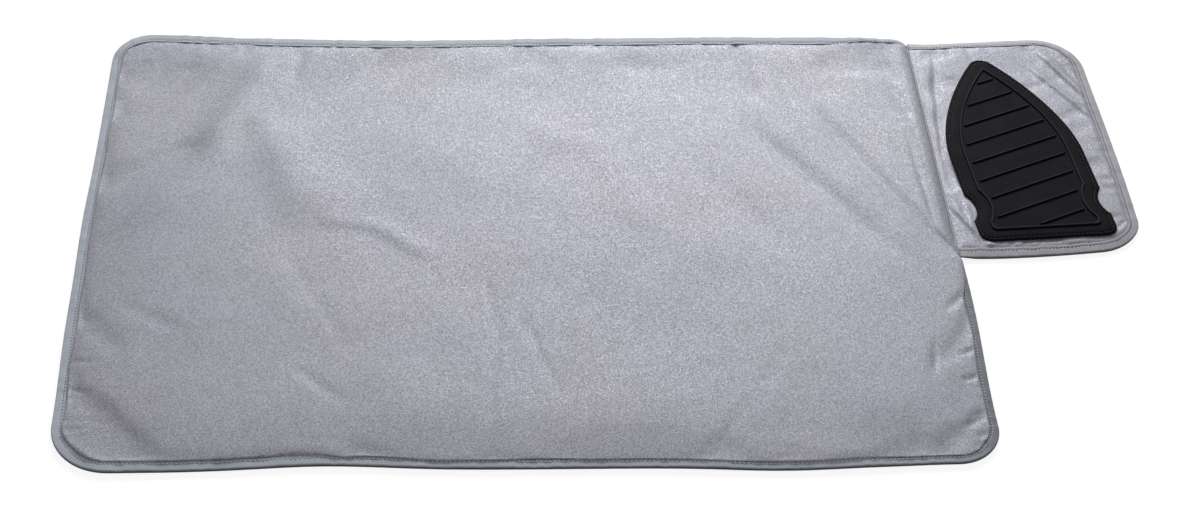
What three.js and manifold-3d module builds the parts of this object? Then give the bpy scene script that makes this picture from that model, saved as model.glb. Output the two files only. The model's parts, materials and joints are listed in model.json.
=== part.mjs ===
// Ironing pad: a padded main panel with a bound edge, and a smaller padded flap that carries an iron rest.
// A strip of unpadded cloth joins the two, so the flap can be folded up and over onto the main panel.
// Millimetres. +X runs to the right, +Y to the back and +Z up.
// The origin lies on the table, under the middle of the whole pad.

import * as THREE from 'three';
import Module from 'manifold-3d';
import { mergeVertices } from 'three/addons/utils/BufferGeometryUtils.js';

// Main panel
const MAIN_LENGTH = 685.8;
const MAIN_DEPTH = 501.65;
const MAIN_CORNER = 39;
const MAIN_SEAM_CORNER = 12;
const MAIN_SIDE_DRAW = 3;
const MAIN_CROWN = 8.2;
const MAIN_CROWN_RUN = 70;
const MAIN_CROWN_POWER = 3.5;
const MAIN_CLOTH = 0.8;
const FELT_THICKNESS = 2;

// Binding tape round the main panel
const BINDING_WIDTH = 10;
const BINDING_HEIGHT = 6;
const BINDING_NOSE = 1.8;
const BINDING_STITCH_INSET = 6.4;
const BINDING_START_DEG = 30;

// Flap
const FLAP_LENGTH = 152.4;
const FLAP_DEPTH = 279.4;
const FLAP_CORNER = 38;
const FLAP_CROWN = 4.6;
const FLAP_CROWN_RUN = 14;
const FLAP_CROWN_POWER = 2;
const FLAP_CLOTH = 0.7;

// Cloth band round the flap
const BAND_WIDTH = 9;
const BAND_HEIGHT = 4.6;
const BAND_NOSE = 1.5;
const BAND_STITCH_INSET = 6.6;

// Stitching
const THREAD_RADIUS = 0.25;
const THREAD_SINK = 0.15;
const TAPE_UNDER_STITCH = 0.35;
const SEAM_THREAD_RADIUS = 0.4;

// Iron rest, in its own frame: the base runs along X through the origin and the nose points along +Y
const REST_LENGTH = 233;
const REST_WIDTH = 114;
const REST_PLATE = 1.8;
const REST_RELIEF = 1.3;
const REST_BASE_CORNER = 11;
const REST_NOTCH_RADIUS = 26;
const REST_NOTCH_DEPTH = 5.5;
const REST_NOTCH_MIDDLE = 41;
const REST_SHOULDER = 104;
const REST_SHOULDER_HANDLE = 37;
const REST_NOSE_RADIUS = 11.5;
const REST_NOSE_FLANK_DEG = 36;
const REST_NOSE_HANDLE = 50;
const REST_BEAD_INSET = 13;
const REST_BEAD_WIDTH = 2;
const REST_RIB_COUNT = 9;
const REST_RIB_WIDTH = 2;
const REST_RIB_PITCH = 23.1;
const REST_RIB_FIRST = 18;
const REST_RIB_TURN_DEG = 20.5;
const REST_RIB_END_GAP = 2;
const REST_STITCH_INSET = 3.2;
const REST_TURN_DEG = 4.5;
const REST_FRONT_MARGIN = 16;

// Clearances and curve steps
const FIT_GAP = 0.3;
const FOLD_GAP = 0.4;
const STRIP_END_REACH = 0.3;
const TUCK_RUN = 2.4;
const LEAST_CORNER = 0.5;
const CROWN_ROUNDING = 0.9;
const CORNER_STEPS = 6;
const SIDE_STEPS = 5;
const REST_CURVE_STEPS = 8;
const THREAD_SIDES = 6;
const CROWN_SHARES = [0.09, 0.2, 0.4, 0.7, 1];

// Levels and lines that follow from the sizes above
const radians = THREE.MathUtils.degToRad;
const stitchGroove = 2 * THREAD_RADIUS + THREAD_SINK;
const tapeWall = stitchGroove + TAPE_UNDER_STITCH;
const seamHeight = BINDING_HEIGHT / 2;
const stripThickness = 2 * FLAP_CLOTH + FIT_GAP;
const restBottom = FLAP_CROWN + FIT_GAP;
const restTop = restBottom + REST_PLATE + REST_RELIEF;
const stripWidth = MAIN_CROWN - seamHeight + restTop - seamHeight + FOLD_GAP;
const foldSetback = stripThickness / 2 + FIT_GAP;

const left = -(MAIN_LENGTH + FLAP_LENGTH) / 2;
const seam = left + MAIN_LENGTH;
const right = seam + FLAP_LENGTH;
const fold = seam + stripWidth;
const back = MAIN_DEPTH / 2;
const front = -back;
const flapFront = back - FLAP_DEPTH;
const seamBack = back - MAIN_SEAM_CORNER * (1 - Math.sin(radians(BINDING_START_DEG)));

// A corner of a panel's outline, with the radius that rounds it, where 0 leaves one point,
// and how far the side that follows it is drawn in at its middle
function corner(x, y, radius = 0, draw = 0) {
  return { at: new THREE.Vector2(x, y), radius, draw };
}

// One corner of the outline moved inwards: corners stay concentric under the binding,
// and further in they grow rounder, so that the crown has no hip lines
function cornerPoints({ outline, lip }, inset, i) {
  const { at, radius } = outline[i];
  const into = at.clone().sub(outline.at(i - 1).at).normalize();
  const onward = outline[(i + 1) % outline.length].at.clone().sub(at).normalize();
  const inward = new THREE.Vector2(-into.y, into.x);
  const inwardNext = new THREE.Vector2(-onward.y, onward.x);
  const shift = inset / (1 + inward.dot(inwardNext));
  const moved = at.clone().addScaledVector(inward, shift).addScaledVector(inwardNext, shift);
  if (radius === 0) {
    return [moved];
  }
  const underBinding = Math.max(radius - Math.min(inset, lip), LEAST_CORNER);
  const round = underBinding + Math.max(inset - lip, 0) * CROWN_ROUNDING;
  const turn = Math.acos(into.dot(onward));
  const start = moved.clone().addScaledVector(into, -round * Math.tan(turn / 2));
  const centre = start.clone().addScaledVector(inward, round);
  const points = [];
  for (let step = 0; step <= CORNER_STEPS; step += 1) {
    const angle = (turn * step) / CORNER_STEPS;
    const point = centre.clone().addScaledVector(inward, -round * Math.cos(angle));
    points.push(point.addScaledVector(into, round * Math.sin(angle)));
  }
  return points;
}

// The points of a drawn-in side between two corners; the draw fades out towards the middle of the panel
function sidePoints({ lip, crownRun }, inset, draw, start, end) {
  const along = end.clone().sub(start).normalize();
  const inward = new THREE.Vector2(-along.y, along.x);
  const fade = 1 - THREE.MathUtils.smoothstep(inset, lip, lip + crownRun);
  const points = [];
  for (let step = 1; draw > 0 && step < SIDE_STEPS; step += 1) {
    const share = step / SIDE_STEPS;
    const depth = draw * fade * Math.sin(Math.PI * share) ** 2;
    points.push(start.clone().lerp(end, share).addScaledVector(inward, depth));
  }
  return points;
}

// The panel's whole outline moved inwards by an inset
function ringAt(panel, inset) {
  const corners = panel.outline.map((_, i) => cornerPoints(panel, inset, i));
  return corners.flatMap((points, i) => {
    const next = corners[(i + 1) % corners.length];
    return points.concat(sidePoints(panel, inset, panel.outline[i].draw, points.at(-1), next[0]));
  });
}

function meshGeometry(vertices, triangles) {
  const geometry = new THREE.BufferGeometry();
  geometry.setAttribute('position', new THREE.Float32BufferAttribute(vertices, 3));
  geometry.setIndex(triangles);
  geometry.computeVertexNormals();
  return geometry;
}

// A layer of the panel: rings from the edge inwards, each with its own top and bottom height
function layer(panel, stations) {
  const rings = stations.map(({ inset }) => ringAt(panel, inset));
  const count = rings[0].length;
  const vertices = [];
  const triangles = [];
  rings.forEach((ring, i) => ring.forEach(({ x, y }) => vertices.push(x, y, stations[i].top)));
  rings.forEach((ring, i) => ring.forEach(({ x, y }) => vertices.push(x, y, stations[i].bottom)));
  const topAt = (ring, i) => ring * count + (i % count);
  const bottomAt = (ring, i) => (rings.length + ring) * count + (i % count);
  const inner = rings.length - 1;
  const middle = rings[inner].reduce((sum, p) => sum.add(p), new THREE.Vector2()).divideScalar(count);
  const topMiddle = vertices.length / 3;
  const bottomMiddle = topMiddle + 1;
  vertices.push(middle.x, middle.y, stations[inner].top);
  vertices.push(middle.x, middle.y, stations[inner].bottom);
  for (let i = 0; i < count; i += 1) {
    triangles.push(bottomAt(0, i), bottomAt(0, i + 1), topAt(0, i + 1));
    triangles.push(bottomAt(0, i), topAt(0, i + 1), topAt(0, i));
    for (let ring = 0; ring < inner; ring += 1) {
      triangles.push(topAt(ring, i), topAt(ring, i + 1), topAt(ring + 1, i + 1));
      triangles.push(topAt(ring, i), topAt(ring + 1, i + 1), topAt(ring + 1, i));
      triangles.push(bottomAt(ring, i), bottomAt(ring + 1, i + 1), bottomAt(ring, i + 1));
      triangles.push(bottomAt(ring, i), bottomAt(ring + 1, i), bottomAt(ring + 1, i + 1));
    }
    triangles.push(topAt(inner, i), topAt(inner, i + 1), topMiddle);
    triangles.push(bottomAt(inner, i + 1), bottomAt(inner, i), bottomMiddle);
  }
  return meshGeometry(vertices, triangles);
}

// A section of insets and heights carried along part of the panel's edge, with flat ends
function edging(panel, section, path) {
  const vertices = [];
  const triangles = [];
  const rows = section.map(({ x: inset, y: height }) => {
    const ring = ringAt(panel, inset);
    return path.map((index) => ({ point: ring[index], height }));
  });
  rows.flat().forEach(({ point, height }) => vertices.push(point.x, point.y, height));
  const length = path.length;
  rows.forEach((_, row) => {
    const next = (row + 1) % rows.length;
    for (let i = 0; i < length - 1; i += 1) {
      triangles.push(row * length + i, next * length + i, next * length + i + 1);
      triangles.push(row * length + i, next * length + i + 1, row * length + i + 1);
    }
  });
  THREE.ShapeUtils.triangulateShape(section, []).forEach((face) => {
    const facing = THREE.ShapeUtils.area(face.map((i) => section[i])) > 0;
    const [a, b, c] = facing ? face : face.toReversed();
    triangles.push(c * length, b * length, a * length);
    triangles.push(a * length + length - 1, b * length + length - 1, c * length + length - 1);
  });
  return meshGeometry(vertices, triangles);
}

// A folded tape: two legs joined by a round nose, with a stitch groove sunk into each leg
function tapeSection({ width, height, nose, stitchInset }) {
  const halfGroove = THREAD_RADIUS + FIT_GAP;
  const grooveOuter = stitchInset - halfGroove;
  const grooveInner = stitchInset + halfGroove;
  const round = new THREE.EllipseCurve(nose, height / 2, nose, height / 2, Math.PI / 2, 1.5 * Math.PI);
  return [
    ...round.getPoints(CORNER_STEPS),
    new THREE.Vector2(grooveOuter, 0),
    new THREE.Vector2(grooveOuter, stitchGroove),
    new THREE.Vector2(grooveInner, stitchGroove),
    new THREE.Vector2(grooveInner, 0),
    new THREE.Vector2(width, 0),
    new THREE.Vector2(width, tapeWall),
    new THREE.Vector2(tapeWall, tapeWall),
    new THREE.Vector2(tapeWall, height - tapeWall),
    new THREE.Vector2(width, height - tapeWall),
    new THREE.Vector2(width, height),
    new THREE.Vector2(grooveInner, height),
    new THREE.Vector2(grooveInner, height - stitchGroove),
    new THREE.Vector2(grooveOuter, height - stitchGroove),
    new THREE.Vector2(grooveOuter, height),
  ];
}

// A thread's section, lying in a groove at an inset and height
function threadSection(inset, height) {
  const round = new THREE.EllipseCurve(inset, height, THREAD_RADIUS, THREAD_RADIUS);
  return round.getPoints(THREAD_SIDES).slice(0, THREAD_SIDES);
}

// The face cloth's height at an inset: flat under the binding, then rising to the crown
function crownHeight({ lip, lipTop, crown, crownRun, crownPower }, inset) {
  const share = THREE.MathUtils.clamp((inset - lip) / crownRun, 0, 1);
  return lipTop + (crown - lipTop) * (1 - (1 - share) ** crownPower);
}

function crownInsets({ lip, crownRun }) {
  return CROWN_SHARES.map((share) => lip + share * crownRun);
}

function faceCloth(panel) {
  const insets = [panel.edge, panel.lip, ...crownInsets(panel)];
  return layer(panel, insets.map((inset) => {
    const top = crownHeight(panel, inset);
    return { inset, top, bottom: top - panel.cloth };
  }));
}

// The backing lies flat on the table and is tucked up over the tape's lower leg
function backing(panel) {
  const { edge, lip, lipBottom, cloth } = panel;
  return layer(panel, [
    { inset: edge, top: lipBottom + cloth, bottom: lipBottom },
    { inset: lip, top: lipBottom + cloth, bottom: lipBottom },
    { inset: lip + TUCK_RUN, top: cloth, bottom: 0 },
  ]);
}

// Wadding fills the space between a level floor and the face cloth
function wadding(panel, floor) {
  const under = panel.cloth + FIT_GAP;
  const insets = [panel.lip + TUCK_RUN, ...crownInsets(panel).slice(1)];
  return layer(panel, insets.map((inset) => {
    return { inset, top: crownHeight(panel, inset) - under, bottom: floor };
  }));
}

function felt(panel) {
  const inset = panel.lip + TUCK_RUN + FIT_GAP;
  const bottom = panel.cloth + FIT_GAP;
  return layer(panel, [{ inset, top: bottom + FELT_THICKNESS, bottom }]);
}

// A panel's outline with the heights that its tape leaves for the layers inside
function makePanel(outline, tape, sizes) {
  const lip = tape.width + 2 * FIT_GAP;
  return {
    outline,
    lip,
    edge: tapeWall + FIT_GAP,
    lipTop: tape.height - tapeWall - FIT_GAP,
    lipBottom: tapeWall + FIT_GAP,
    ...sizes,
  };
}

const mainTape = {
  width: BINDING_WIDTH,
  height: BINDING_HEIGHT,
  nose: BINDING_NOSE,
  stitchInset: BINDING_STITCH_INSET,
};
const mainOutline = [
  corner(seam, flapFront - FIT_GAP),
  corner(seam, back, MAIN_SEAM_CORNER, MAIN_SIDE_DRAW),
  corner(left, back, MAIN_CORNER, MAIN_SIDE_DRAW),
  corner(left, front, MAIN_CORNER, MAIN_SIDE_DRAW),
  corner(seam, front, MAIN_CORNER),
];
const mainPanel = makePanel(mainOutline, mainTape, {
  cloth: MAIN_CLOTH,
  crown: MAIN_CROWN,
  crownRun: MAIN_CROWN_RUN,
  crownPower: MAIN_CROWN_POWER,
});

const bandTape = {
  width: BAND_WIDTH,
  height: BAND_HEIGHT,
  nose: BAND_NOSE,
  stitchInset: BAND_STITCH_INSET,
};
const flapSizes = {
  cloth: FLAP_CLOTH,
  crown: FLAP_CROWN,
  crownRun: FLAP_CROWN_RUN,
  crownPower: FLAP_CROWN_POWER,
};
const flapEdge = fold + foldSetback - (tapeWall + FIT_GAP);
const flapPanel = makePanel([
  corner(flapEdge, flapFront),
  corner(right, flapFront, FLAP_CORNER),
  corner(right, back, FLAP_CORNER),
  corner(flapEdge, back),
], bandTape, flapSizes);

// The band's outline runs on past the fold, so that the band's two ends are cut square to its edge
const bandPanel = makePanel([
  corner(fold + foldSetback, flapFront),
  corner(right, flapFront, FLAP_CORNER),
  corner(right, back, FLAP_CORNER),
  corner(fold + foldSetback, back),
  corner(seam - BAND_WIDTH, back),
  corner(seam - BAND_WIDTH, flapFront),
], bandTape, flapSizes);

// The binding starts part way round the corner at the seam and ends below the flap
const bindingFirst = 1 + Math.round((CORNER_STEPS * BINDING_START_DEG) / 90);
const bindingPath = [...ringAt(mainPanel, 0).keys()].slice(bindingFirst).concat(0);
const bandPath = [...Array(2 + 2 * (CORNER_STEPS + 1)).keys()];

// The iron rest's outline moved inwards: a flat base with round corners, a scallop in each side,
// long curved flanks and a small round nose, which turns into a point further in
function restOutline(inset) {
  const half = REST_WIDTH / 2 - inset;
  const base = Math.max(REST_BASE_CORNER - inset, LEAST_CORNER);
  const notchCentre = REST_WIDTH / 2 - REST_NOTCH_DEPTH + REST_NOTCH_RADIUS;
  const notchRadius = REST_NOTCH_RADIUS + inset;
  const notchAngle = Math.acos((notchCentre - half) / notchRadius);
  const notchRise = notchRadius * Math.sin(notchAngle);
  const flank = radians(REST_NOSE_FLANK_DEG);
  const nose = REST_NOSE_RADIUS - inset;
  const noseCentre = REST_LENGTH - REST_NOSE_RADIUS;
  const noseX = Math.max(nose, 0) * Math.cos(flank);
  const noseY = noseCentre + (nose > 0 ? nose * Math.sin(flank) : nose / Math.sin(flank));
  const handleX = noseX + REST_NOSE_HANDLE * Math.sin(flank);
  const handleY = noseY - REST_NOSE_HANDLE * Math.cos(flank);
  const shoulderHandle = REST_SHOULDER + REST_SHOULDER_HANDLE;

  const shape = new THREE.Shape();
  shape.moveTo(base - half, inset);
  shape.lineTo(half - base, inset);
  shape.absarc(half - base, inset + base, base, -Math.PI / 2, 0, false);
  shape.lineTo(half, REST_NOTCH_MIDDLE - notchRise);
  shape.absarc(notchCentre, REST_NOTCH_MIDDLE, notchRadius, Math.PI + notchAngle, Math.PI - notchAngle, true);
  shape.lineTo(half, REST_SHOULDER);
  shape.bezierCurveTo(half, shoulderHandle, handleX, handleY, noseX, noseY);
  if (nose > 0) {
    shape.absarc(0, noseCentre, nose, flank, Math.PI - flank, false);
  }
  shape.bezierCurveTo(-handleX, handleY, -half, shoulderHandle, -half, REST_SHOULDER);
  shape.lineTo(-half, REST_NOTCH_MIDDLE + notchRise);
  shape.absarc(-notchCentre, REST_NOTCH_MIDDLE, notchRadius, notchAngle, -notchAngle, true);
  shape.lineTo(-half, inset + base);
  shape.absarc(base - half, inset + base, base, Math.PI, 1.5 * Math.PI, false);
  return shape;
}

function extrude(shape, height, lift = 0) {
  const options = { depth: height, bevelEnabled: false, curveSegments: REST_CURVE_STEPS };
  return new THREE.ExtrudeGeometry(shape, options).translate(0, 0, lift);
}

// The band between two insets of the rest's outline
function restRing(outer, inner) {
  const shape = restOutline(outer);
  shape.holes.push(new THREE.Path(restOutline(inner).getPoints(REST_CURVE_STEPS)));
  return shape;
}

const wasm = await Module();
wasm.setup();

function solid(geometry) {
  const bare = geometry.clone();
  bare.deleteAttribute('normal');
  bare.deleteAttribute('uv');
  const merged = mergeVertices(bare.index ? bare.toNonIndexed() : bare);
  return new wasm.Manifold(new wasm.Mesh({
    numProp: 3,
    vertProperties: new Float32Array(merged.attributes.position.array),
    triVerts: new Uint32Array(merged.index.array),
  }));
}

function solidGeometry(manifold) {
  const mesh = manifold.getMesh();
  return meshGeometry(Array.from(mesh.vertProperties), Array.from(mesh.triVerts));
}

// Straight ribs, set slantwise across the rest and ending short of the bead
function restRibs(lift, height) {
  const inside = extrude(restOutline(REST_BEAD_INSET + REST_BEAD_WIDTH / 2 + REST_RIB_END_GAP), height, lift);
  const turn = radians(REST_RIB_TURN_DEG);
  let ribs = null;
  for (let i = 0; i < REST_RIB_COUNT; i += 1) {
    const bar = new THREE.BoxGeometry(2 * REST_WIDTH, REST_RIB_WIDTH, height);
    bar.rotateZ(turn).translate(0, REST_RIB_FIRST + i * REST_RIB_PITCH, lift + height / 2);
    ribs = ribs ? ribs.add(solid(bar)) : solid(bar);
  }
  return ribs.intersect(solid(inside));
}

// One silicone moulding: a plate, a raised bead inside its rim, the ribs, and a groove for the stitching
function ironRest() {
  const sunk = REST_PLATE / 2;
  const relief = REST_PLATE - sunk + REST_RELIEF;
  const halfBead = REST_BEAD_WIDTH / 2;
  const halfGroove = THREAD_RADIUS + FIT_GAP;
  const bead = restRing(REST_BEAD_INSET - halfBead, REST_BEAD_INSET + halfBead);
  const groove = restRing(REST_STITCH_INSET - halfGroove, REST_STITCH_INSET + halfGroove);
  const moulding = solid(extrude(restOutline(0), REST_PLATE))
    .add(solid(extrude(bead, relief, sunk)))
    .add(restRibs(sunk, relief))
    .subtract(solid(extrude(groove, REST_PLATE, REST_PLATE - stitchGroove)));
  return solidGeometry(moulding);
}

function ironRestThread() {
  const shape = restRing(REST_STITCH_INSET - THREAD_RADIUS, REST_STITCH_INSET + THREAD_RADIUS);
  return extrude(shape, 2 * THREAD_RADIUS, REST_PLATE - stitchGroove + THREAD_SINK);
}

function cloth(color, roughness = 0.85, metalness = 0) {
  return new THREE.MeshStandardMaterial({ color, roughness, metalness });
}

function part(name, geometry, material) {
  const mesh = new THREE.Mesh(geometry, material);
  mesh.name = name;
  return mesh;
}

// A flat strip of cloth between the seam and the fold
function stripCloth(bottom) {
  const start = seam + SEAM_THREAD_RADIUS + FIT_GAP;
  const end = fold + STRIP_END_REACH;
  const near = flapFront + FIT_GAP;
  const far = seamBack - FIT_GAP;
  const geometry = new THREE.BoxGeometry(end - start, far - near, FLAP_CLOTH);
  return geometry.translate((start + end) / 2, (near + far) / 2, bottom + FLAP_CLOTH / 2);
}

// The seam's thread lies on the line that the strip turns about
function seamThread() {
  const near = flapFront + FIT_GAP;
  const far = seamBack - FIT_GAP;
  const radius = SEAM_THREAD_RADIUS;
  const geometry = new THREE.CylinderGeometry(radius, radius, far - near, THREAD_SIDES);
  return geometry.translate(seam, (near + far) / 2, seamHeight);
}

const mainBinding = edging(mainPanel, tapeSection(mainTape), bindingPath);
const flapBand = edging(bandPanel, tapeSection(bandTape), bandPath);
const threadLow = THREAD_RADIUS;
const threadHigh = (tape) => tape.height - threadLow;
const mainThread = (height) => edging(mainPanel, threadSection(BINDING_STITCH_INSET, height), bindingPath);
const bandThread = (height) => edging(bandPanel, threadSection(BAND_STITCH_INSET, height), bandPath);
const waddingFloor = MAIN_CLOTH + FELT_THICKNESS + 2 * FIT_GAP;

const pad = new THREE.Group();

const mainGroup = new THREE.Group();
mainGroup.add(part('main_face_cloth', faceCloth(mainPanel), cloth(0xa6a5ad, 0.55, 0.3)));
mainGroup.add(part('main_wadding', wadding(mainPanel, waddingFloor), cloth(0xe9e6df, 0.95)));
mainGroup.add(part('main_felt', felt(mainPanel), cloth(0x8b8780, 0.95)));
mainGroup.add(part('main_backing', backing(mainPanel), cloth(0x8f9299, 0.9)));
mainGroup.add(part('main_binding', mainBinding, cloth(0x8791a4, 0.8)));
mainGroup.add(part('main_needle_thread', mainThread(threadHigh(mainTape)), cloth(0xc4c9d2, 0.6)));
mainGroup.add(part('main_bobbin_thread', mainThread(threadLow), cloth(0xaab0ba, 0.6)));
mainGroup.add(part('seam_thread', seamThread(), cloth(0xb4b7c0, 0.6)));
pad.add(mainGroup);

const stripGroup = new THREE.Group();
const stripBottom = seamHeight - stripThickness / 2;
const stripUpper = stripBottom + FLAP_CLOTH + FIT_GAP;
stripGroup.add(part('fold_strip_face', stripCloth(stripUpper), cloth(0xb2b1b8, 0.55, 0.3)));
stripGroup.add(part('fold_strip_backing', stripCloth(stripBottom), cloth(0x8f9299, 0.9)));
pad.add(stripGroup);

const flapGroup = new THREE.Group();
flapGroup.add(part('flap_face_cloth', faceCloth(flapPanel), cloth(0xb2b1b8, 0.55, 0.3)));
flapGroup.add(part('flap_wadding', wadding(flapPanel, FLAP_CLOTH + FIT_GAP), cloth(0xe9e6df, 0.95)));
flapGroup.add(part('flap_backing', backing(flapPanel), cloth(0x8f9299, 0.9)));
flapGroup.add(part('flap_band', flapBand, cloth(0xb0b0b8, 0.6, 0.2)));
flapGroup.add(part('flap_needle_thread', bandThread(threadHigh(bandTape)), cloth(0xc4c9d2, 0.6)));
flapGroup.add(part('flap_bobbin_thread', bandThread(threadLow), cloth(0xaab0ba, 0.6)));
pad.add(flapGroup);

// The rest is turned a little and pushed up against the fold
const restGroup = new THREE.Group();
const restTurn = radians(REST_TURN_DEG);
const restReach = Math.min(...restOutline(0).getPoints(REST_CURVE_STEPS).map(({ x, y }) => {
  return x * Math.cos(restTurn) - y * Math.sin(restTurn);
}));
restGroup.rotation.z = restTurn;
restGroup.position.set(fold + foldSetback - restReach, flapFront + REST_FRONT_MARGIN, restBottom);
restGroup.add(part('iron_rest', ironRest(), cloth(0x1f2022, 0.6)));
restGroup.add(part('iron_rest_thread', ironRestThread(), cloth(0x2a2b2e, 0.7)));
flapGroup.add(restGroup);

export default pad;
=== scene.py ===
"""Looks of an ironing pad: a bound, padded main panel and a hinged flap that carries a ribbed iron rest.

Every size is in millimetres in the model's own frame, with +Z up and the table at height 0.
The meshes are written in metres, which is the frame's unit.
"""

import json
import logging
import math
from dataclasses import dataclass
from enum import Enum
from functools import cache

import bmesh
import bpy
import numpy as np
from mathutils import Matrix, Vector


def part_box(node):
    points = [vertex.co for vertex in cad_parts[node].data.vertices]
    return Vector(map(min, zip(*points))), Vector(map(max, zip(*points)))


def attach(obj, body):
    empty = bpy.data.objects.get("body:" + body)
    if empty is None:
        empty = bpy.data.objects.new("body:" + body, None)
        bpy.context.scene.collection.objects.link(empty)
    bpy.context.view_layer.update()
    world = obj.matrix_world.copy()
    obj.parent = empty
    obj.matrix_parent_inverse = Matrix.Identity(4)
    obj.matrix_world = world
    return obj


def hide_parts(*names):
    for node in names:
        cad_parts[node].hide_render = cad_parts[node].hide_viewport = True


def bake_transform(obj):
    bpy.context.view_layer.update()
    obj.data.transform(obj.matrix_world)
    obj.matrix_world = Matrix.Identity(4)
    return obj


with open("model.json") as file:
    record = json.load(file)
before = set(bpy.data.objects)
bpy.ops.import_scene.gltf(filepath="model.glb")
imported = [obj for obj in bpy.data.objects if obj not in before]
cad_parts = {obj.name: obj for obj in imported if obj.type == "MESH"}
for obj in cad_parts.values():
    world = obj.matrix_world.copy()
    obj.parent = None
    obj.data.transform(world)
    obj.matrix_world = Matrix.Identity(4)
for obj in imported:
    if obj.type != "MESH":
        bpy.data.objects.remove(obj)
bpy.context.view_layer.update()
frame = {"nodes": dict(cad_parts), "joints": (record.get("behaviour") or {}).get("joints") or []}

LOG = logging.getLogger("ironing_pad")
MM = 0.001
WEAVE_MAP = "weave"

Array = np.ndarray
Pair = tuple[Array, Array]
Box = tuple[float, float, float, float]
Piece = bpy.types.Object
Material = bpy.types.Material


class Body(str, Enum):
    """The moving bodies of the pad."""

    MAIN = "main_pad"
    STRIP = "fold_strip"
    FLAP = "flap"


class Slot(str, Enum):
    """The record's material slots."""

    FACE = "face_cloth"
    WADDING = "wadding"
    FELT = "felt"
    BACKING = "backing_cloth"
    BINDING = "binding_tape"
    BAND = "band_cloth"
    THREAD = "pale_thread"
    SILICONE = "rest_silicone"
    BLACK_THREAD = "black_thread"


class Level(Enum):
    """Which leg of a folded tape a row of stitches lies on, as the sign of its height."""

    UPPER = 1
    LOWER = -1


# Surfaces


def smooth(share: Array | float) -> Array:
    """Rise smoothly from 0 to 1: three times the square less twice the cube, held at both ends."""
    held = np.clip(share, 0.0, 1.0)
    return held * held * (3.0 - 2.0 * held)


def swell(share: Array, power: float) -> Array:
    """Rise from 0 to 1 like padding, steep at first: one less (1 - share) to a power."""
    return 1.0 - (1.0 - np.clip(share, 0.0, 1.0)) ** power


def bell(share: Array) -> Array:
    """Give a bell curve: e to the power of minus the square."""
    return np.exp(-(share**2))


def fading(share: Array) -> Array:
    """Fade from 1, which holds before 0: e to the power of minus the share."""
    return np.exp(-np.clip(share, 0.0, None))


def near(inside: Array, fade: float) -> Array:
    """Tell how near an edge places lie: 1 on it, and smoothly less over a way inwards."""
    return smooth(1.0 - inside / fade)


def capped(height: Array, top: Array | float, ease: float) -> Array:
    """Hold heights under a top, with a hyperbolic tangent over the last bit below it."""
    return np.minimum(height, top - ease + ease * np.tanh((height - top + ease) / ease))


def unit(ways: Array) -> Array:
    """Make directions one long."""
    return ways / np.linalg.norm(ways, axis=-1, keepdims=True)


def lengths(line: Array) -> Array:
    """Give the length walked to each point of a line."""
    return np.concatenate([[0.0], np.cumsum(np.linalg.norm(np.diff(line, axis=0), axis=1))])


def between(where: Array, walked: Array, line: Array) -> Array:
    """Find the places at some walked lengths on a line of points in the plane."""
    return np.stack([np.interp(where, walked, line[:, axis]) for axis in (0, 1)], -1)


@dataclass(frozen=True)
class Rise:
    """A smooth step along a line: its height, its start, and its run, negative if it rises backwards."""

    height: float
    start: float
    run: float

    def at(self, place: Array) -> Array:
        """Give the step's height at some places."""
        return self.height * smooth((place - self.start) / self.run)

    def down(self, place: Array) -> Array:
        """Give what is left of the height where the step falls instead."""
        return self.height - self.at(place)


@dataclass(frozen=True)
class Hump:
    """A bell curve along a line, or a hollow where its height is negative."""

    height: float
    middle: float
    width: float

    def at(self, place: Array) -> Array:
        """Give the curve's height at some places."""
        return self.height * bell((place - self.middle) / self.width)


def summed(parts: "tuple[Rise | Hump, ...]", place: Array) -> Array:
    """Add up steps and humps at some places along a line."""
    return sum((part.at(place) for part in parts), np.zeros_like(place))


@dataclass(frozen=True)
class Wave:
    """A soft random wave field with a usual height and about one wavelength.

    It sums plane waves in random directions and phases, which the seed fixes.
    """

    height: float
    length: float
    seed: int
    waves: int = 14

    def at(self, x: Array, y: Array) -> Array:
        """Give the field's height.

        Args:
            x: Places across.
            y: Places along.

        Returns:
            The height at each place.
        """
        rng = np.random.default_rng(self.seed)
        turn = rng.uniform(0.0, 2.0 * math.pi, self.waves)
        pace = 2.0 * math.pi / self.length * rng.uniform(0.75, 1.3, self.waves)
        phase = rng.uniform(0.0, 2.0 * math.pi, self.waves)
        across = np.multiply.outer(x, pace * np.cos(turn))
        along = np.multiply.outer(y, pace * np.sin(turn))
        return self.height * np.cos(across + along + phase).sum(axis=-1) * math.sqrt(2.0 / self.waves)


def grid_quads(rows: int, columns: int, ring: bool = False) -> Array:
    """Number the quads of a grid of points, facing up when rows run to the back and columns to the right.

    Args:
        rows: Points along the first axis.
        columns: Points along the second axis.
        ring: Whether each row closes on itself.

    Returns:
        One row of four point numbers for each quad.
    """
    index = np.arange(rows * columns).reshape(rows, columns)
    if ring:
        index = np.concatenate([index, index[:, :1]], axis=1)
    corners = [index[:-1, :-1], index[:-1, 1:], index[1:, 1:], index[1:, :-1]]
    return np.stack(corners, axis=-1).reshape(-1, 4)


def bar_faces(count: int, rows: int, columns: int, turned: bool = False) -> list[Array]:
    """Number the faces of some closed bars at once: rings of points joined by quads, and two ends.

    Args:
        count: How many bars there are.
        rows: Rings of each bar.
        columns: Points of each ring.
        turned: Whether the rings run the other way round.

    Returns:
        The quads, the first ends and the last ends.
    """
    first = np.arange(count)[:, None, None] * rows * columns
    ring = np.arange(columns)[None, None, :] + first
    wall = grid_quads(rows, columns, ring=True)[None] + first
    parts = (wall, ring[..., ::-1], ring + (rows - 1) * columns)
    faces = [part.reshape(-1, part.shape[-1]) for part in parts]
    return [face[:, ::-1] for face in faces] if turned else faces


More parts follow.
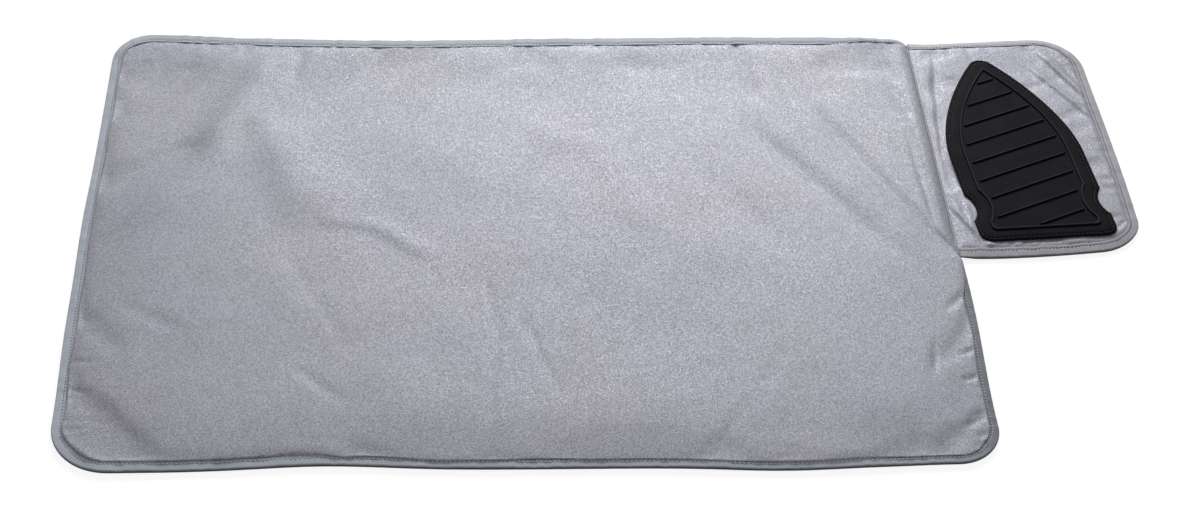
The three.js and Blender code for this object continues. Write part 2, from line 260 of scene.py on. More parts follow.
def mesh_piece(name: str, points: Array, faces: list[Array], weave: Array | None = None) -> Piece:
    """Make a smooth mesh object at the origin.

    Args:
        name: The piece's name.
        points: Points in millimetres, in any grid of three coordinates.
        faces: Arrays of point numbers, one row for each face.
        weave: Two coordinates in millimetres for each point, which the cloth's pattern follows.

    Returns:
        The new object, linked to the scene.
    """
    flat = np.asarray(points, float).reshape(-1, 3)
    corners = np.concatenate([face.ravel() for face in faces]).astype(np.int32)
    counts = np.concatenate([np.full(len(face), face.shape[1]) for face in faces])
    starts = np.concatenate([[0], np.cumsum(counts)[:-1]]).astype(np.int32)
    mesh = bpy.data.meshes.new(name)
    mesh.vertices.add(len(flat))
    mesh.vertices.foreach_set("co", (flat * MM).astype(np.float32).ravel())
    mesh.loops.add(len(corners))
    mesh.loops.foreach_set("vertex_index", corners)
    mesh.polygons.add(len(counts))
    mesh.polygons.foreach_set("loop_start", starts)
    mesh.polygons.foreach_set("use_smooth", np.ones(len(counts), bool))
    if weave is not None:
        layer = mesh.uv_layers.new(name=WEAVE_MAP)
        spread = (np.asarray(weave, float).reshape(-1, 2) * MM)[corners]
        layer.data.foreach_set("uv", spread.astype(np.float32).ravel())
    mesh.update(calc_edges=True)
    piece = bpy.data.objects.new(name, mesh)
    bpy.context.scene.collection.objects.link(piece)
    return piece


def weld(piece: Piece, distance: float = 0.01) -> None:
    """Merge the points of a piece that lie close together, and drop the empty faces.

    Args:
        piece: The piece.
        distance: How close the points lie, in millimetres.
    """
    work = bmesh.new()
    work.from_mesh(piece.data)
    bmesh.ops.remove_doubles(work, verts=work.verts, dist=distance * MM)
    bmesh.ops.dissolve_degenerate(work, edges=work.edges, dist=distance * MM / 10.0)
    work.to_mesh(piece.data)
    work.free()


def stations(low: list[float], high: list[float], length: float, step: float) -> Array:
    """Space out grid lines along a side: the given offsets at both ends, and even steps between them.

    Args:
        low: Offsets from the low end, rising.
        high: Offsets from the high end, rising.
        length: The side's length.
        step: About how far apart the middle lines lie.

    Returns:
        An odd number of places, rising.
    """
    first = np.array(low)
    last = length - np.array(high)[::-1]
    count = int(round((last[0] - first[-1]) / step))
    if (len(first) + len(last) + count) % 2 == 1:
        count += 1
    middle = np.linspace(first[-1], last[0], count + 1)[1:-1]
    placed = np.concatenate([first, middle, last])
    return placed if len(placed) % 2 == 1 else np.delete(placed, len(placed) // 2)


@dataclass(frozen=True)
class Rounded:
    """A rectangle with a radius at each corner, given as left, right, front and back sides."""

    sides: Box
    radii: tuple

    def corners(self) -> list[tuple]:
        """List the front and then the back corners: signs across and along, radius, and the arc's middle.

        Returns:
            Five numbers for each corner.
        """
        left, right, front, back = self.sides
        signs = [(across, along) for along in (-1.0, 1.0) for across in (-1.0, 1.0)]
        sides = [(x, y) for y in (front, back) for x in (left, right)]
        return [
            (across, along, radius, x - across * radius, y - along * radius)
            for (across, along), (x, y), radius in zip(signs, sides, self.radii)
        ]

    def inner(self, inset: float) -> "Rounded":
        """Give the outline moved inwards, with its radii made smaller to match.

        Args:
            inset: How far it moves.

        Returns:
            The new outline.
        """
        left, right, front, back = self.sides
        radii = tuple(max(radius - inset, 0.0) for radius in self.radii)
        return Rounded((left + inset, right - inset, front + inset, back - inset), radii)

    def bend(self, x: Array, y: Array) -> Pair:
        """Bend the square corners of a grid onto the arcs.

        In a corner's square, with s and t as shares of the radius from the arc's middle, a point moves to
        s times the root of (1 - t squared / 2), and t likewise, which turns the square into a quarter disc.

        Args:
            x: Grid of places across, inside the rectangle.
            y: Grid of places along.

        Returns:
            The two moved grids.
        """
        for across, along, radius, cx, cy in self.corners():
            if radius <= 0.0:
                continue
            s = np.clip((x - cx) * across / radius, 0.0, 1.0)
            t = np.clip((y - cy) * along / radius, 0.0, 1.0)
            corner = (s > 0.0) & (t > 0.0)
            x = np.where(corner, cx + across * radius * s * np.sqrt(1.0 - t * t / 2.0), x)
            y = np.where(corner, cy + along * radius * t * np.sqrt(1.0 - s * s / 2.0), y)
        return x, y

    def edge(self, x: Array, y: Array) -> tuple[Array, Array, Array]:
        """Measure how far inside the edge each place lies, and find the nearest place on the edge.

        Along the sides this is the least of the four side distances. In a corner it is the radius less
        the distance from the arc's middle.

        Args:
            x: Places across.
            y: Places along.

        Returns:
            The distance inwards, and the nearest edge place across and along.
        """
        left, right, front, back = self.sides
        side = np.stack([x - left, right - x, y - front, back - y])
        nearest = side.argmin(axis=0)
        inset = side.min(axis=0)
        edge_x = np.choose(nearest, [np.full_like(x, left), np.full_like(x, right), x, x])
        edge_y = np.choose(nearest, [y, y, np.full_like(y, front), np.full_like(y, back)])
        for across, along, radius, cx, cy in self.corners():
            s = (x - cx) * across
            t = (y - cy) * along
            corner = (s > 0.0) & (t > 0.0)
            reach = np.maximum(np.hypot(s, t), 1e-9)
            inset = np.where(corner, radius - reach, inset)
            edge_x = np.where(corner, cx + (x - cx) * radius / reach, edge_x)
            edge_y = np.where(corner, cy + (y - cy) * radius / reach, edge_y)
        return inset, edge_x, edge_y


@dataclass(frozen=True)
class Path:
    """A line of places in the plane with their inward directions and the length walked so far."""

    place: Array
    inward: Array
    walked: Array

    @staticmethod
    def through(points: list[tuple[float, float, float]], step: float, turn: float) -> "Path":
        """Walk along straight runs and round arcs, with the inside on the left.

        Each inner corner is rounded by its radius: the arc starts a radius times the tangent of half the
        turning angle before it, and is divided into steps of a fixed angle.

        Args:
            points: Corners as across, along and radius; the first and last are the ends.
            step: Longest step on straight runs.
            turn: Step on arcs, in degrees.

        Returns:
            The path.
        """
        at = np.array([(x, y) for x, y, _ in points])
        radii = [radius for _, _, radius in points]
        ways = unit(np.diff(at, axis=0))
        pieces, normals = [], []
        start = at[0]
        for i, way in enumerate(ways):
            normal = np.array([-way[1], way[0]])
            last = i == len(ways) - 1
            angle = 0.0 if last else math.acos(float(np.clip(way @ ways[i + 1], -1.0, 1.0)))
            end = at[i + 1] - way * (0.0 if last else radii[i + 1] * math.tan(angle / 2.0))
            count = max(2, int(np.linalg.norm(end - start) / step) + 1)
            share = np.linspace(0.0, 1.0, count, endpoint=last)[:, None]
            pieces.append(start + (end - start) * share)
            normals.append(np.repeat(normal[None], count, axis=0))
            start = end
            if not last:
                middle = end + normal * radii[i + 1]
                parts = max(2, int(math.degrees(angle) / turn))
                turns = np.linspace(0.0, angle, parts, endpoint=False)[:, None]
                facing = normal * np.cos(turns) - way * np.sin(turns)
                pieces.append(middle - facing * radii[i + 1])
                normals.append(facing)
                start = middle - (normal * math.cos(angle) - way * math.sin(angle)) * radii[i + 1]
        place = np.concatenate(pieces)
        return Path(place, np.concatenate(normals), lengths(place))

    def at(self, walked: Array) -> Pair:
        """Give the places and inward directions at some walked lengths."""
        return between(walked, self.walked, self.place), unit(between(walked, self.walked, self.inward))


@dataclass(frozen=True)
class Crease:
    """A soft valley that runs across the cloth, or a ridge where its depth is negative.

    The side on the right, seen from its start, can be narrower, and the crease can widen towards its end.
    """

    start: tuple[float, float]
    end: tuple[float, float]
    width: float
    depth: float
    right: float = 1.0
    widen: float = 0.0
    before: float = 0.15
    fade: float = 0.4

    def height(self, x: Array, y: Array) -> Array:
        """Give the height that the crease adds.

        The valley is a bell curve across the line. It fades in from a little before the line's start, and
        out likewise.

        Args:
            x: Places across.
            y: Places along.

        Returns:
            The added height, which is negative in a valley.
        """
        run = np.subtract(self.end, self.start)
        length = float(np.hypot(*run))
        way = run / length
        along = ((x - self.start[0]) * way[0] + (y - self.start[1]) * way[1]) / length
        across = (x - self.start[0]) * way[1] - (y - self.start[1]) * way[0]
        fade = smooth((along + self.before) / self.fade) * smooth((1.0 + self.before - along) / self.fade)
        span = self.width * np.where(across > 0.0, self.right, 1.0)
        span = span * (1.0 + self.widen * np.clip(along, 0.0, 1.0))
        return -self.depth * bell(across / span) * fade


def creased(x: Array, y: Array, creases: tuple[Crease, ...]) -> Array:
    """Add up the heights of several creases."""
    return sum((crease.height(x, y) for crease in creases), np.zeros_like(x))


# Cloth simulation


@dataclass(frozen=True)
class Inflation:
    """A short cloth simulation that lets a held sheet swell over its padding."""

    frames: int = 20
    pressure: float = 0.35
    slack: float = 0.005
    stiffness: float = 14.0
    bending: float = 0.8
    mass: float = 0.2
    damping: float = 2.0
    quality: int = 5
    cap: float = 0.6

    def moves(self, start: Array, held: Array) -> Array:
        """Run the simulation on a grid of points.

        The held points stay, the others are pressed outwards and have a little more cloth than they need.
        The moves are evened out with their neighbours, and shortened so that none goes beyond the cap.

        Args:
            start: Grid of points in millimetres, as rows, columns and three coordinates.
            held: How firmly each point is held, from 0 to 1.

        Returns:
            How far each point moves, in millimetres.
        """
        rows, columns, _ = start.shape
        sheet = mesh_piece("swelling_sheet", start, [grid_quads(rows, columns)])
        group = sheet.vertex_groups.new(name="held")
        levels = np.round(held.ravel(), 2)
        for level in np.unique(levels[levels > 0.0]):
            group.add(np.flatnonzero(levels == level).tolist(), float(level), "REPLACE")
        cloth = sheet.modifiers.new("swell", "CLOTH")
        wanted = {
            "quality": self.quality,
            "mass": self.mass,
            "air_damping": self.damping,
            "tension_stiffness": self.stiffness,
            "compression_stiffness": self.stiffness,
            "shear_stiffness": self.stiffness / 3.0,
            "bending_stiffness": self.bending,
            "vertex_group_mass": group.name,
            "use_pressure": True,
            "uniform_pressure_force": self.pressure,
            "shrink_min": -self.slack,
        }
        for key, value in wanted.items():
            setattr(cloth.settings, key, value)
        cloth.settings.effector_weights.gravity = 0.0
        cloth.point_cache.frame_start = 1
        cloth.point_cache.frame_end = self.frames
        scene = bpy.context.scene
        for step in range(1, self.frames + 1):
            scene.frame_set(step)
        posed = sheet.evaluated_get(bpy.context.evaluated_depsgraph_get()).to_mesh()
        swollen = np.empty(rows * columns * 3, np.float32)
        posed.vertices.foreach_get("co", swollen)
        bpy.data.objects.remove(sheet)
        scene.frame_set(1)
        moved = swollen.reshape(start.shape).astype(float) / MM - start
        for axis in (0, 1, 0, 1):
            wide = np.concatenate([moved.take([0], axis), moved, moved.take([-1], axis)], axis)
            count = moved.shape[axis]
            before, after = wide.take(range(count), axis), wide.take(range(2, count + 2), axis)
            moved = moved / 2.0 + (before + after) / 4.0
        size = np.linalg.norm(moved, axis=-1, keepdims=True)
        return moved * self.cap * np.tanh(size / self.cap) / np.maximum(size, 1e-9)


def finer(coarse: Array) -> Array:
    """Double a grid's points along both axes.

    New points lie between the old ones on a cubic through the four nearest, with weights of -1, 9, 9 and
    -1 sixteenths. The grid's ends are repeated.

    Args:
        coarse: Grid with rows, columns and any further axis.

    Returns:
        A grid with twice the rows and columns, less one.
    """
    for axis in (0, 1):
        old = np.moveaxis(coarse, axis, 0)
        padded = np.concatenate([old[:1], old, old[-1:]])
        between = (9.0 * (padded[1:-2] + padded[2:-1]) - padded[:-3] - padded[3:]) / 16.0
        new = np.empty((2 * len(old) - 1, *old.shape[1:]))
        new[::2] = old
        new[1::2] = between
        coarse = np.moveaxis(new, 0, axis)
    return coarse


# Shader expressions


class Socket:
    """A node's output that can be used in Python expressions; each operator adds a Math node."""

    def __init__(self, shader: "Shader", link: bpy.types.NodeSocket) -> None:
        """Keep the shader that the socket belongs to."""
        self.shader = shader
        self.link = link

    def math(self, operation: str, *others: "Socket | float") -> "Socket":
        """Add a Math node that takes this socket first."""
        inputs = dict(enumerate((self, *others)))
        return self.shader.node("ShaderNodeMath", {"operation": operation}, inputs)

    def __add__(self, other: "Socket | float") -> "Socket":
        """Add."""
        return self.math("ADD", other)

    __radd__ = __add__

    def __mul__(self, other: "Socket | float") -> "Socket":
        """Multiply."""
        return self.math("MULTIPLY", other)

    __rmul__ = __mul__

    def __sub__(self, other: "Socket | float") -> "Socket":
        """Subtract."""
        return self.math("SUBTRACT", other)

    def __rsub__(self, other: "Socket | float") -> "Socket":
        """Subtract this socket from a number."""
        return self.math("MULTIPLY_ADD", -1.0, other)

    def __truediv__(self, other: float) -> "Socket":
        """Divide by a number."""
        return self.math("MULTIPLY", 1.0 / other)

    def wave(self, length: float) -> "Socket":
        """Give a wave from 0 to 1 over this length in metres, for a wavelength in millimetres."""
        return self.sine(length) * 0.5 + 0.5

    def sine(self, length: float) -> "Socket":
        """Give the sine of this length in metres, for a wavelength in millimetres."""
        return (self * (2.0 * math.pi / (length * MM))).math("SINE")

    def about(self, share: float) -> "Socket":
        """Give how far the value lies above one half, times a share."""
        return (self - 0.5) * share

    def above(self, level: float) -> "Socket":
        """Give 1 where the value is above a level, and 0 elsewhere."""
        return self.math("GREATER_THAN", level)

    def held(self) -> "Socket":
        """Hold the value between 0 and 1."""
        return self.math("MAXIMUM", 0.0).math("MINIMUM", 1.0)


class Shader:
    """A material's node tree, with a Principled shader that the finishes fill in."""

    def __init__(self, name: str) -> None:
        """Make an empty material with its Principled shader and output.

        Args:
            name: The material's name.
        """
        self.material = bpy.data.materials.new(name)
        self.material.use_nodes = True
        self.tree = self.material.node_tree
        self.tree.nodes.clear()
        self.surface = self.tree.nodes.new("ShaderNodeBsdfPrincipled")
        self.output = self.tree.nodes.new("ShaderNodeOutputMaterial")
        self.tree.links.new(self.surface.outputs["BSDF"], self.output.inputs["Surface"])

    def node(self, kind: str, settings: dict, inputs: dict, output: int | str = 0) -> Socket:
        """Add any node.

        Args:
            kind: The node's type.
            settings: Its properties, which are set first.
            inputs: Values or sockets by input name or number.
            output: The name or number of the output that is wanted.

        Returns:
            The output, ready for expressions.
        """
        made = self.tree.nodes.new(kind)
        for key, value in settings.items():
            setattr(made, key, value)
        for key, value in inputs.items():
            self.feed(made.inputs[key], value)
        return Socket(self, made.outputs[output])

    def feed(self, target: bpy.types.NodeSocket, value: "Socket | float | tuple") -> None:
        """Link a socket to an input, or set the input's value.

        Args:
            target: The input.
            value: The socket or the value.
        """
        if isinstance(value, Socket):
            self.tree.links.new(value.link, target)
        else:
            target.default_value = value

    def set(self, **inputs: "Socket | float | tuple") -> None:
        """Fill the Principled shader's inputs; a name's low lines stand for spaces."""
        for key, value in inputs.items():
            self.feed(self.surface.inputs[key.replace("_", " ")], value)

    def weave(self) -> tuple[Socket, Socket, Socket]:
        """Read the piece's own cloth map.

        Returns:
            Its vector, and its lengths across and along in metres.
        """
        spread = self.node("ShaderNodeUVMap", {"uv_map": WEAVE_MAP}, {})
        across = self.node("ShaderNodeSeparateXYZ", {}, {0: spread}, "X")
        along = self.node("ShaderNodeSeparateXYZ", {}, {0: spread}, "Y")
        return spread, across, along

    @staticmethod
    def woven(across: Socket, along: Socket, yarn: float) -> Socket:
        """Give a plain weave's height, half the product of two sines, for a yarn in millimetres."""
        return across.sine(yarn) * along.sine(yarn) * 0.5 + 0.5

    def place(self) -> Socket:
        """Read the place on the object, in metres."""
        return self.node("ShaderNodeTexCoord", {}, {}, "Object")

    def stretched(self, where: Socket, across: float, along: float) -> Socket:
        """Stretch a pattern's place by two shares."""
        scale = (1.0 / across, 1.0 / along, 1.0)
        return self.node("ShaderNodeMapping", {}, {"Vector": where, "Scale": scale})

    def noise(self, where: Socket, size: float, detail: float = 2.0) -> Socket:
        """Add soft noise whose grains are about a size in millimetres."""
        inputs = {"Vector": where, "Scale": 1.0 / (size * MM), "Detail": detail, "Roughness": 0.55}
        return self.node("ShaderNodeTexNoise", {}, inputs, "Fac")

    def flakes(self, where: Socket, size: float) -> Socket:
        """Add flakes, each with one random value.

        Args:
            where: The place that the pattern follows.
            size: The flakes' size in millimetres.

        Returns:
            The value from 0 to 1.
        """
        inputs = {"Vector": where, "Scale": 1.0 / (size * MM)}
        colour = self.node("ShaderNodeTexVoronoi", {"feature": "F1"}, inputs, "Color")
        return self.node("ShaderNodeSeparateColor", {}, {0: colour}, 0)

    def mix(self, share: Socket, low: "Socket | tuple", high: tuple, held: bool = True) -> Socket:
        """Mix two colours.

        Args:
            share: How much of the second colour is mixed in.
            low: The first colour.
            high: The second colour.
            held: Whether the share is held between 0 and 1.

        Returns:
            The mixed colour.
        """
        settings = {"data_type": "RGBA", "clamp_factor": held}
        first = low if isinstance(low, Socket) else (*low, 1.0)
        return self.node("ShaderNodeMix", settings, {0: share, 6: first, 7: (*high, 1.0)}, 2)

    def bump(self, height: Socket, depth: float, strength: float) -> Socket:
        """Turn a height from 0 to 1 into a normal, for a relief of a depth in millimetres."""
        inputs = {"Height": height, "Distance": depth * MM, "Strength": strength}
        return self.node("ShaderNodeBump", {}, inputs)


@dataclass(frozen=True)
class SilverCloth:
    """Plain-woven cotton with a silver coating that glitters a little."""

    name: str = "silver_cloth"
    dark: tuple = (0.3, 0.298, 0.338)
    light: tuple = (0.638, 0.63, 0.705)
    cool: tuple = (0.6, 0.618, 0.728)
    yarn: float = 0.62
    grain: float = 1.15
    flake: float = 0.5
    slub: float = 12.0
    slub_width: float = 0.9
    stain: float = 60.0
    cool_patch: float = 150.0
    spark: float = 0.92
    tone: float = 0.47
    roughness: float = 0.6
    metallic: float = 0.22

    def material(self) -> Material:
        """Build the material: a weave for relief, slubs, grain and flakes for glitter, and broad stains.

        Returns:
            The new material.
        """
        shader = Shader(self.name)
        spread, across, along = shader.weave()
        over = shader.woven(across, along, self.yarn)
        grain = shader.noise(spread, self.grain, 3.0)
        flake = shader.flakes(spread, self.flake)
        broad = shader.noise(spread, self.stain)
        weft = shader.noise(shader.stretched(spread, self.slub, 1.0), self.slub_width)
        warp = shader.noise(shader.stretched(spread, 1.0, self.slub), self.slub_width)
        tint = shader.noise(spread, self.cool_patch, 1.0).about(2.2) + 0.5
        spark = flake.above(self.spark)
        tone = grain.about(0.35) + flake.about(1.4) + weft.about(0.3) + warp.about(0.2)
        tone = tone + broad.about(0.22) + over.about(0.1) + spark * 0.1 + self.tone
        shader.set(
            Base_Color=shader.mix(1.0 - tone, shader.mix(tint, self.light, self.cool), self.dark),
            Roughness=(self.roughness + (0.5 - grain) * 0.3 - spark * 0.14).held(),
            Metallic=(self.metallic + grain.about(0.2) + spark * 0.2).held(),
            Normal=shader.bump(over * 0.6 + grain * 0.4, 0.06, 0.8),
            Sheen_Weight=0.12,
            Sheen_Roughness=0.5,
        )
        return shader.material


@dataclass(frozen=True)
class FoldedTape:
    """Smooth narrow tape with a fine slanting rib, and painted shade along the needle row and along its
    fold.
    """

    name: str
    dark: tuple
    light: tuple
    row: float
    fold: float
    # Colour of the painted shade, and how wide the painted shade along the fold is.
    painted_shade: tuple = (0.02, 0.022, 0.03)
    fold_shade_width: float = 1.0
    # Painted shade that grows in over a run from a given length along the tape, up to a strength.
    end_shade_from: float = 1.0e5
    end_shade_run: float = 50.0
    end_shade: float = 0.0
    rib: float = 0.85
    groove: float = 0.65
    grain: float = 1.3
    faded: float = 30.0
    roughness: float = 0.62

    def material(self) -> Material:
        """Build the material: slanting ribs for relief, a little fading, and painted shade along the outer
        fold, in the stitch groove and over a last stretch.

        Returns:
            The new material.
        """
        shader = Shader(self.name)
        spread, across, along = shader.weave()
        ribs = (across + along * 0.6).wave(self.rib)
        cross = along.wave(self.rib * 0.6)
        grain = shader.noise(spread, self.grain, 3.0)
        faded = shader.noise(spread, self.faded)
        # Painted shade in the stitch groove, along the needle row.
        groove = (1.0 - (along / MM - self.row).math("ABSOLUTE") / self.groove).held()
        tone = grain.about(1.3) + faded.about(0.9) + ribs.about(0.2) + 0.5
        # Painted shade along the outer fold.
        fold_shade = (1.5 - (along / MM - self.fold).math("ABSOLUTE") / self.fold_shade_width).held()
        # Painted shade over the tape's last stretch, from a given length onwards.
        end_shade = ((across / MM - self.end_shade_from) / self.end_shade_run).held() * self.end_shade
        # Share of painted shade: fold, stitch groove and last stretch together.
        shade_share = (fold_shade + groove * 0.5 + end_shade).held()
        shader.set(
            Base_Color=shader.mix(shade_share, shader.mix(tone, self.dark, self.light), self.painted_shade),
            Roughness=(self.roughness + grain.about(0.25)).held(),
            Normal=shader.bump(ribs * 0.6 + cross * 0.25 + grain * 0.3, 0.09, 0.8),
            Sheen_Weight=0.1,
        )
        return shader.material


@dataclass(frozen=True)
class WovenBacking:
    """Plain grey cloth of coarser yarn for the underside."""

    name: str = "backing_cloth"
    dark: tuple = (0.19, 0.2, 0.225)
    light: tuple = (0.33, 0.345, 0.385)
    yarn: float = 1.0
    grain: float = 1.8
    stain: float = 45.0
    roughness: float = 0.86

    def material(self) -> Material:
        """Build the material: a plain weave in colour and relief, with uneven yarns.

        Returns:
            The new material.
        """
        shader = Shader(self.name)
        spread, across, along = shader.weave()
        over = shader.woven(across, along, self.yarn)
        grain = shader.noise(spread, self.grain, 3.0)
        broad = shader.noise(spread, self.stain)
        shader.set(
            Base_Color=shader.mix(
                over.about(0.5) + grain.about(0.9) + broad.about(0.5) + 0.5, self.dark, self.light
            ),
            Roughness=(self.roughness + grain.about(0.15)).held(),
            Normal=shader.bump(over * 0.7 + grain * 0.3, 0.16, 0.9),
            Sheen_Weight=0.15,
        )
        return shader.material


@dataclass(frozen=True)
class Fibre:
    """Loose fibre, as in wadding and felt."""

    name: str
    dark: tuple
    light: tuple
    strand: float
    relief: float
    clump: float = 6.0
    roughness: float = 0.93

    def material(self) -> Material:
        """Build the material: matted strands at two sizes in colour and relief.

        Returns:
            The new material.
        """
        shader = Shader(self.name)
        where = shader.place()
        matted = shader.noise(where, self.strand, 5.0)
        clumps = shader.noise(where, self.strand * self.clump)
        shader.set(
            Base_Color=shader.mix(matted.about(1.5) + clumps.about(0.8) + 0.5, self.dark, self.light),
            Roughness=(self.roughness + matted.about(0.1)).held(),
            Normal=shader.bump(matted * 0.7 + clumps * 0.3, self.relief, 0.8),
            Sheen_Weight=0.2,
        )
        return shader.material


@dataclass(frozen=True)
class TwistedThread:
    """Sewing thread whose plies show as slanting bands along each stitch."""

    name: str
    dark: tuple
    light: tuple
    ply: float = 0.5
    grain: float = 0.4
    roughness: float = 0.5

    def material(self) -> Material:
        """Build the material: slanting plies in colour and relief, with a soft shine.

        Returns:
            The new material.
        """
        shader = Shader(self.name)
        spread, across, along = shader.weave()
        plies = (across + along * 0.7).wave(self.ply)
        grain = shader.noise(spread, self.grain)
        shader.set(
            Base_Color=shader.mix(plies * 0.7 + grain * 0.3, self.dark, self.light),
            Roughness=(self.roughness + grain.about(0.2)).held(),
            Normal=shader.bump(plies, 0.06, 0.7),
            Sheen_Weight=0.1,
        )
        return shader.material


@dataclass(frozen=True)
class Silicone:
    """Matt black moulded silicone with a fine grain and traces of dust."""

    name: str = "black_silicone"
    dark: tuple = (0.0035, 0.0035, 0.006)
    light: tuple = (0.009, 0.009, 0.0135)
    # Height in millimetres above which the bead and rib tops get a painted highlight.
    highlight_from: float = 7.55
    grain: float = 0.5
    patch: float = 18.0
    dust: float = 1.1
    dusty: float = 0.985
    roughness: float = 0.68

    def material(self) -> Material:
        """Build the material: moulded grain for relief, dust in patches, and a painted highlight that makes
        the tops above a height paler.

        Returns:
            The new material.
        """
        shader = Shader(self.name)
        where = shader.place()
        grain = shader.noise(where, self.grain, 3.0)
        patches = shader.noise(where, self.patch, 3.0)
        dust = shader.flakes(where, self.dust).above(self.dusty)
        height = shader.node("ShaderNodeSeparateXYZ", {}, {0: where}, "Z")
        # Painted highlight: the tops above that height are made paler.
        painted_highlight = ((height / MM - self.highlight_from) * 4.0).held()
        tone = grain.about(0.7) + patches.about(1.1) + dust * 0.5 + 0.4 + painted_highlight * 5.0
        shader.set(
            Base_Color=shader.mix(tone, self.dark, self.light, held=False),
            Roughness=(self.roughness + patches.about(0.22) + grain.about(0.12)).held(),
            Normal=shader.bump(grain, 0.03, 0.6),
            Specular_IOR_Level=0.06,
        )
        return shader.material


Finish = SilverCloth | FoldedTape | WovenBacking | Fibre | TwistedThread | Silicone

SILVER = SilverCloth()
BACKING = WovenBacking()
WADDING = Fibre("white_wadding", (0.6, 0.58, 0.53), (0.86, 0.85, 0.81), 2.2, 0.5)
FELT = Fibre("grey_felt", (0.17, 0.155, 0.14), (0.34, 0.32, 0.29), 0.9, 0.2)
PALE_THREAD = TwistedThread("pale_thread", (0.74, 0.77, 0.82), (0.94, 0.96, 0.99))
SILVER_THREAD = TwistedThread("silver_thread", (0.27, 0.28, 0.31), (0.42, 0.43, 0.47))
BLACK_THREAD = TwistedThread("black_thread", (0.012, 0.012, 0.014), (0.035, 0.035, 0.04))
SILICONE = Silicone()


@cache
def made(finish: Finish) -> Material:
    """Make a finish's material once."""
    return finish.material()


def dress(piece: Piece, finish: Finish, slot: Slot, *stands_for: str) -> None:
    """Args:
        piece: The piece.
        finish: Its finish.
        slot: The record's material slot, which is not used.
        stands_for: The CAD nodes that the piece stands for.
    """
    piece.data.materials.clear()
    piece.data.materials.append(made(finish))
    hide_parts(*stands_for)
    LOG.info("%s: %d points", piece.name, len(piece.data.vertices))


# Edges and stitches


@dataclass(frozen=True)
class Tape:
    """A tape folded round a padded edge and sewn through both legs, thinner at its pressed outer edge."""

    width: float
    outer: float
    inner: float
    stitch_inset: float
    wall: float = 0.6
    nose: float = 1.1
    dip: float = 0.35
    dip_width: float = 0.9
    foot: float = 0.1

    def legs(self, inset: Array) -> Pair:
        """Give the outer heights of the two legs above the tape's foot.

        The upper leg rises evenly from the pressed edge to the cloth, the lower one lies flat, and both
        dip at the stitches. Near the edge they close to their middle like a stretched circle.

        Args:
            inset: Distances from the outer edge.

        Returns:
            The upper leg's height and the lower leg's height at each of them.
        """
        dip = self.dip * bell((inset - self.stitch_inset) / self.dip_width)
        high = self.foot + self.outer + (self.inner - self.outer) * inset / self.width - dip
        low = self.foot + dip
        share = np.clip(1.0 - inset / self.nose, 0.0, 1.0)
        middle, half = (high + low) / 2.0, (high - low) / 2.0 * np.sqrt(1.0 - share**2.2)
        return middle + half, middle - half

    def rows(self) -> tuple[float, float]:
        """Find the upper stitches and the fold on the tape's own cloth.

        Returns:
            The lengths walked to them round the section, from its start.
        """
        section = self.section()
        around = lengths(section)
        fold = int(section[:, 0].argmin())
        needle = np.interp(-self.stitch_inset, -section[: fold + 1, 0], around[: fold + 1])
        return float(needle), float(around[fold])

    def section(self) -> Array:
        """Give the closed cross-section, walked over the top first.

        Returns:
            Rows of inset and height.
        """
        nose = self.nose * (1.0 - np.cos(np.linspace(0.0, math.pi / 2.0, 7)))
        outer = np.concatenate([nose, np.linspace(self.nose, self.width, 14)[1:]])
        inner = np.concatenate([[self.wall], np.linspace(self.wall + 0.6, self.width, 6)])
        high, low = self.legs(outer)
        above, below = self.legs(inner)
        middle = (above + below) / 2.0
        above, below = np.maximum(above - self.wall, middle), np.minimum(below + self.wall, middle)
        above[0] = below[0] = middle[0]
        insets = np.concatenate([outer[::-1], outer[1:], inner[:0:-1], inner])
        heights = np.concatenate([high[::-1], low[1:], below[:0:-1], above])
        return np.stack([insets, heights], -1)


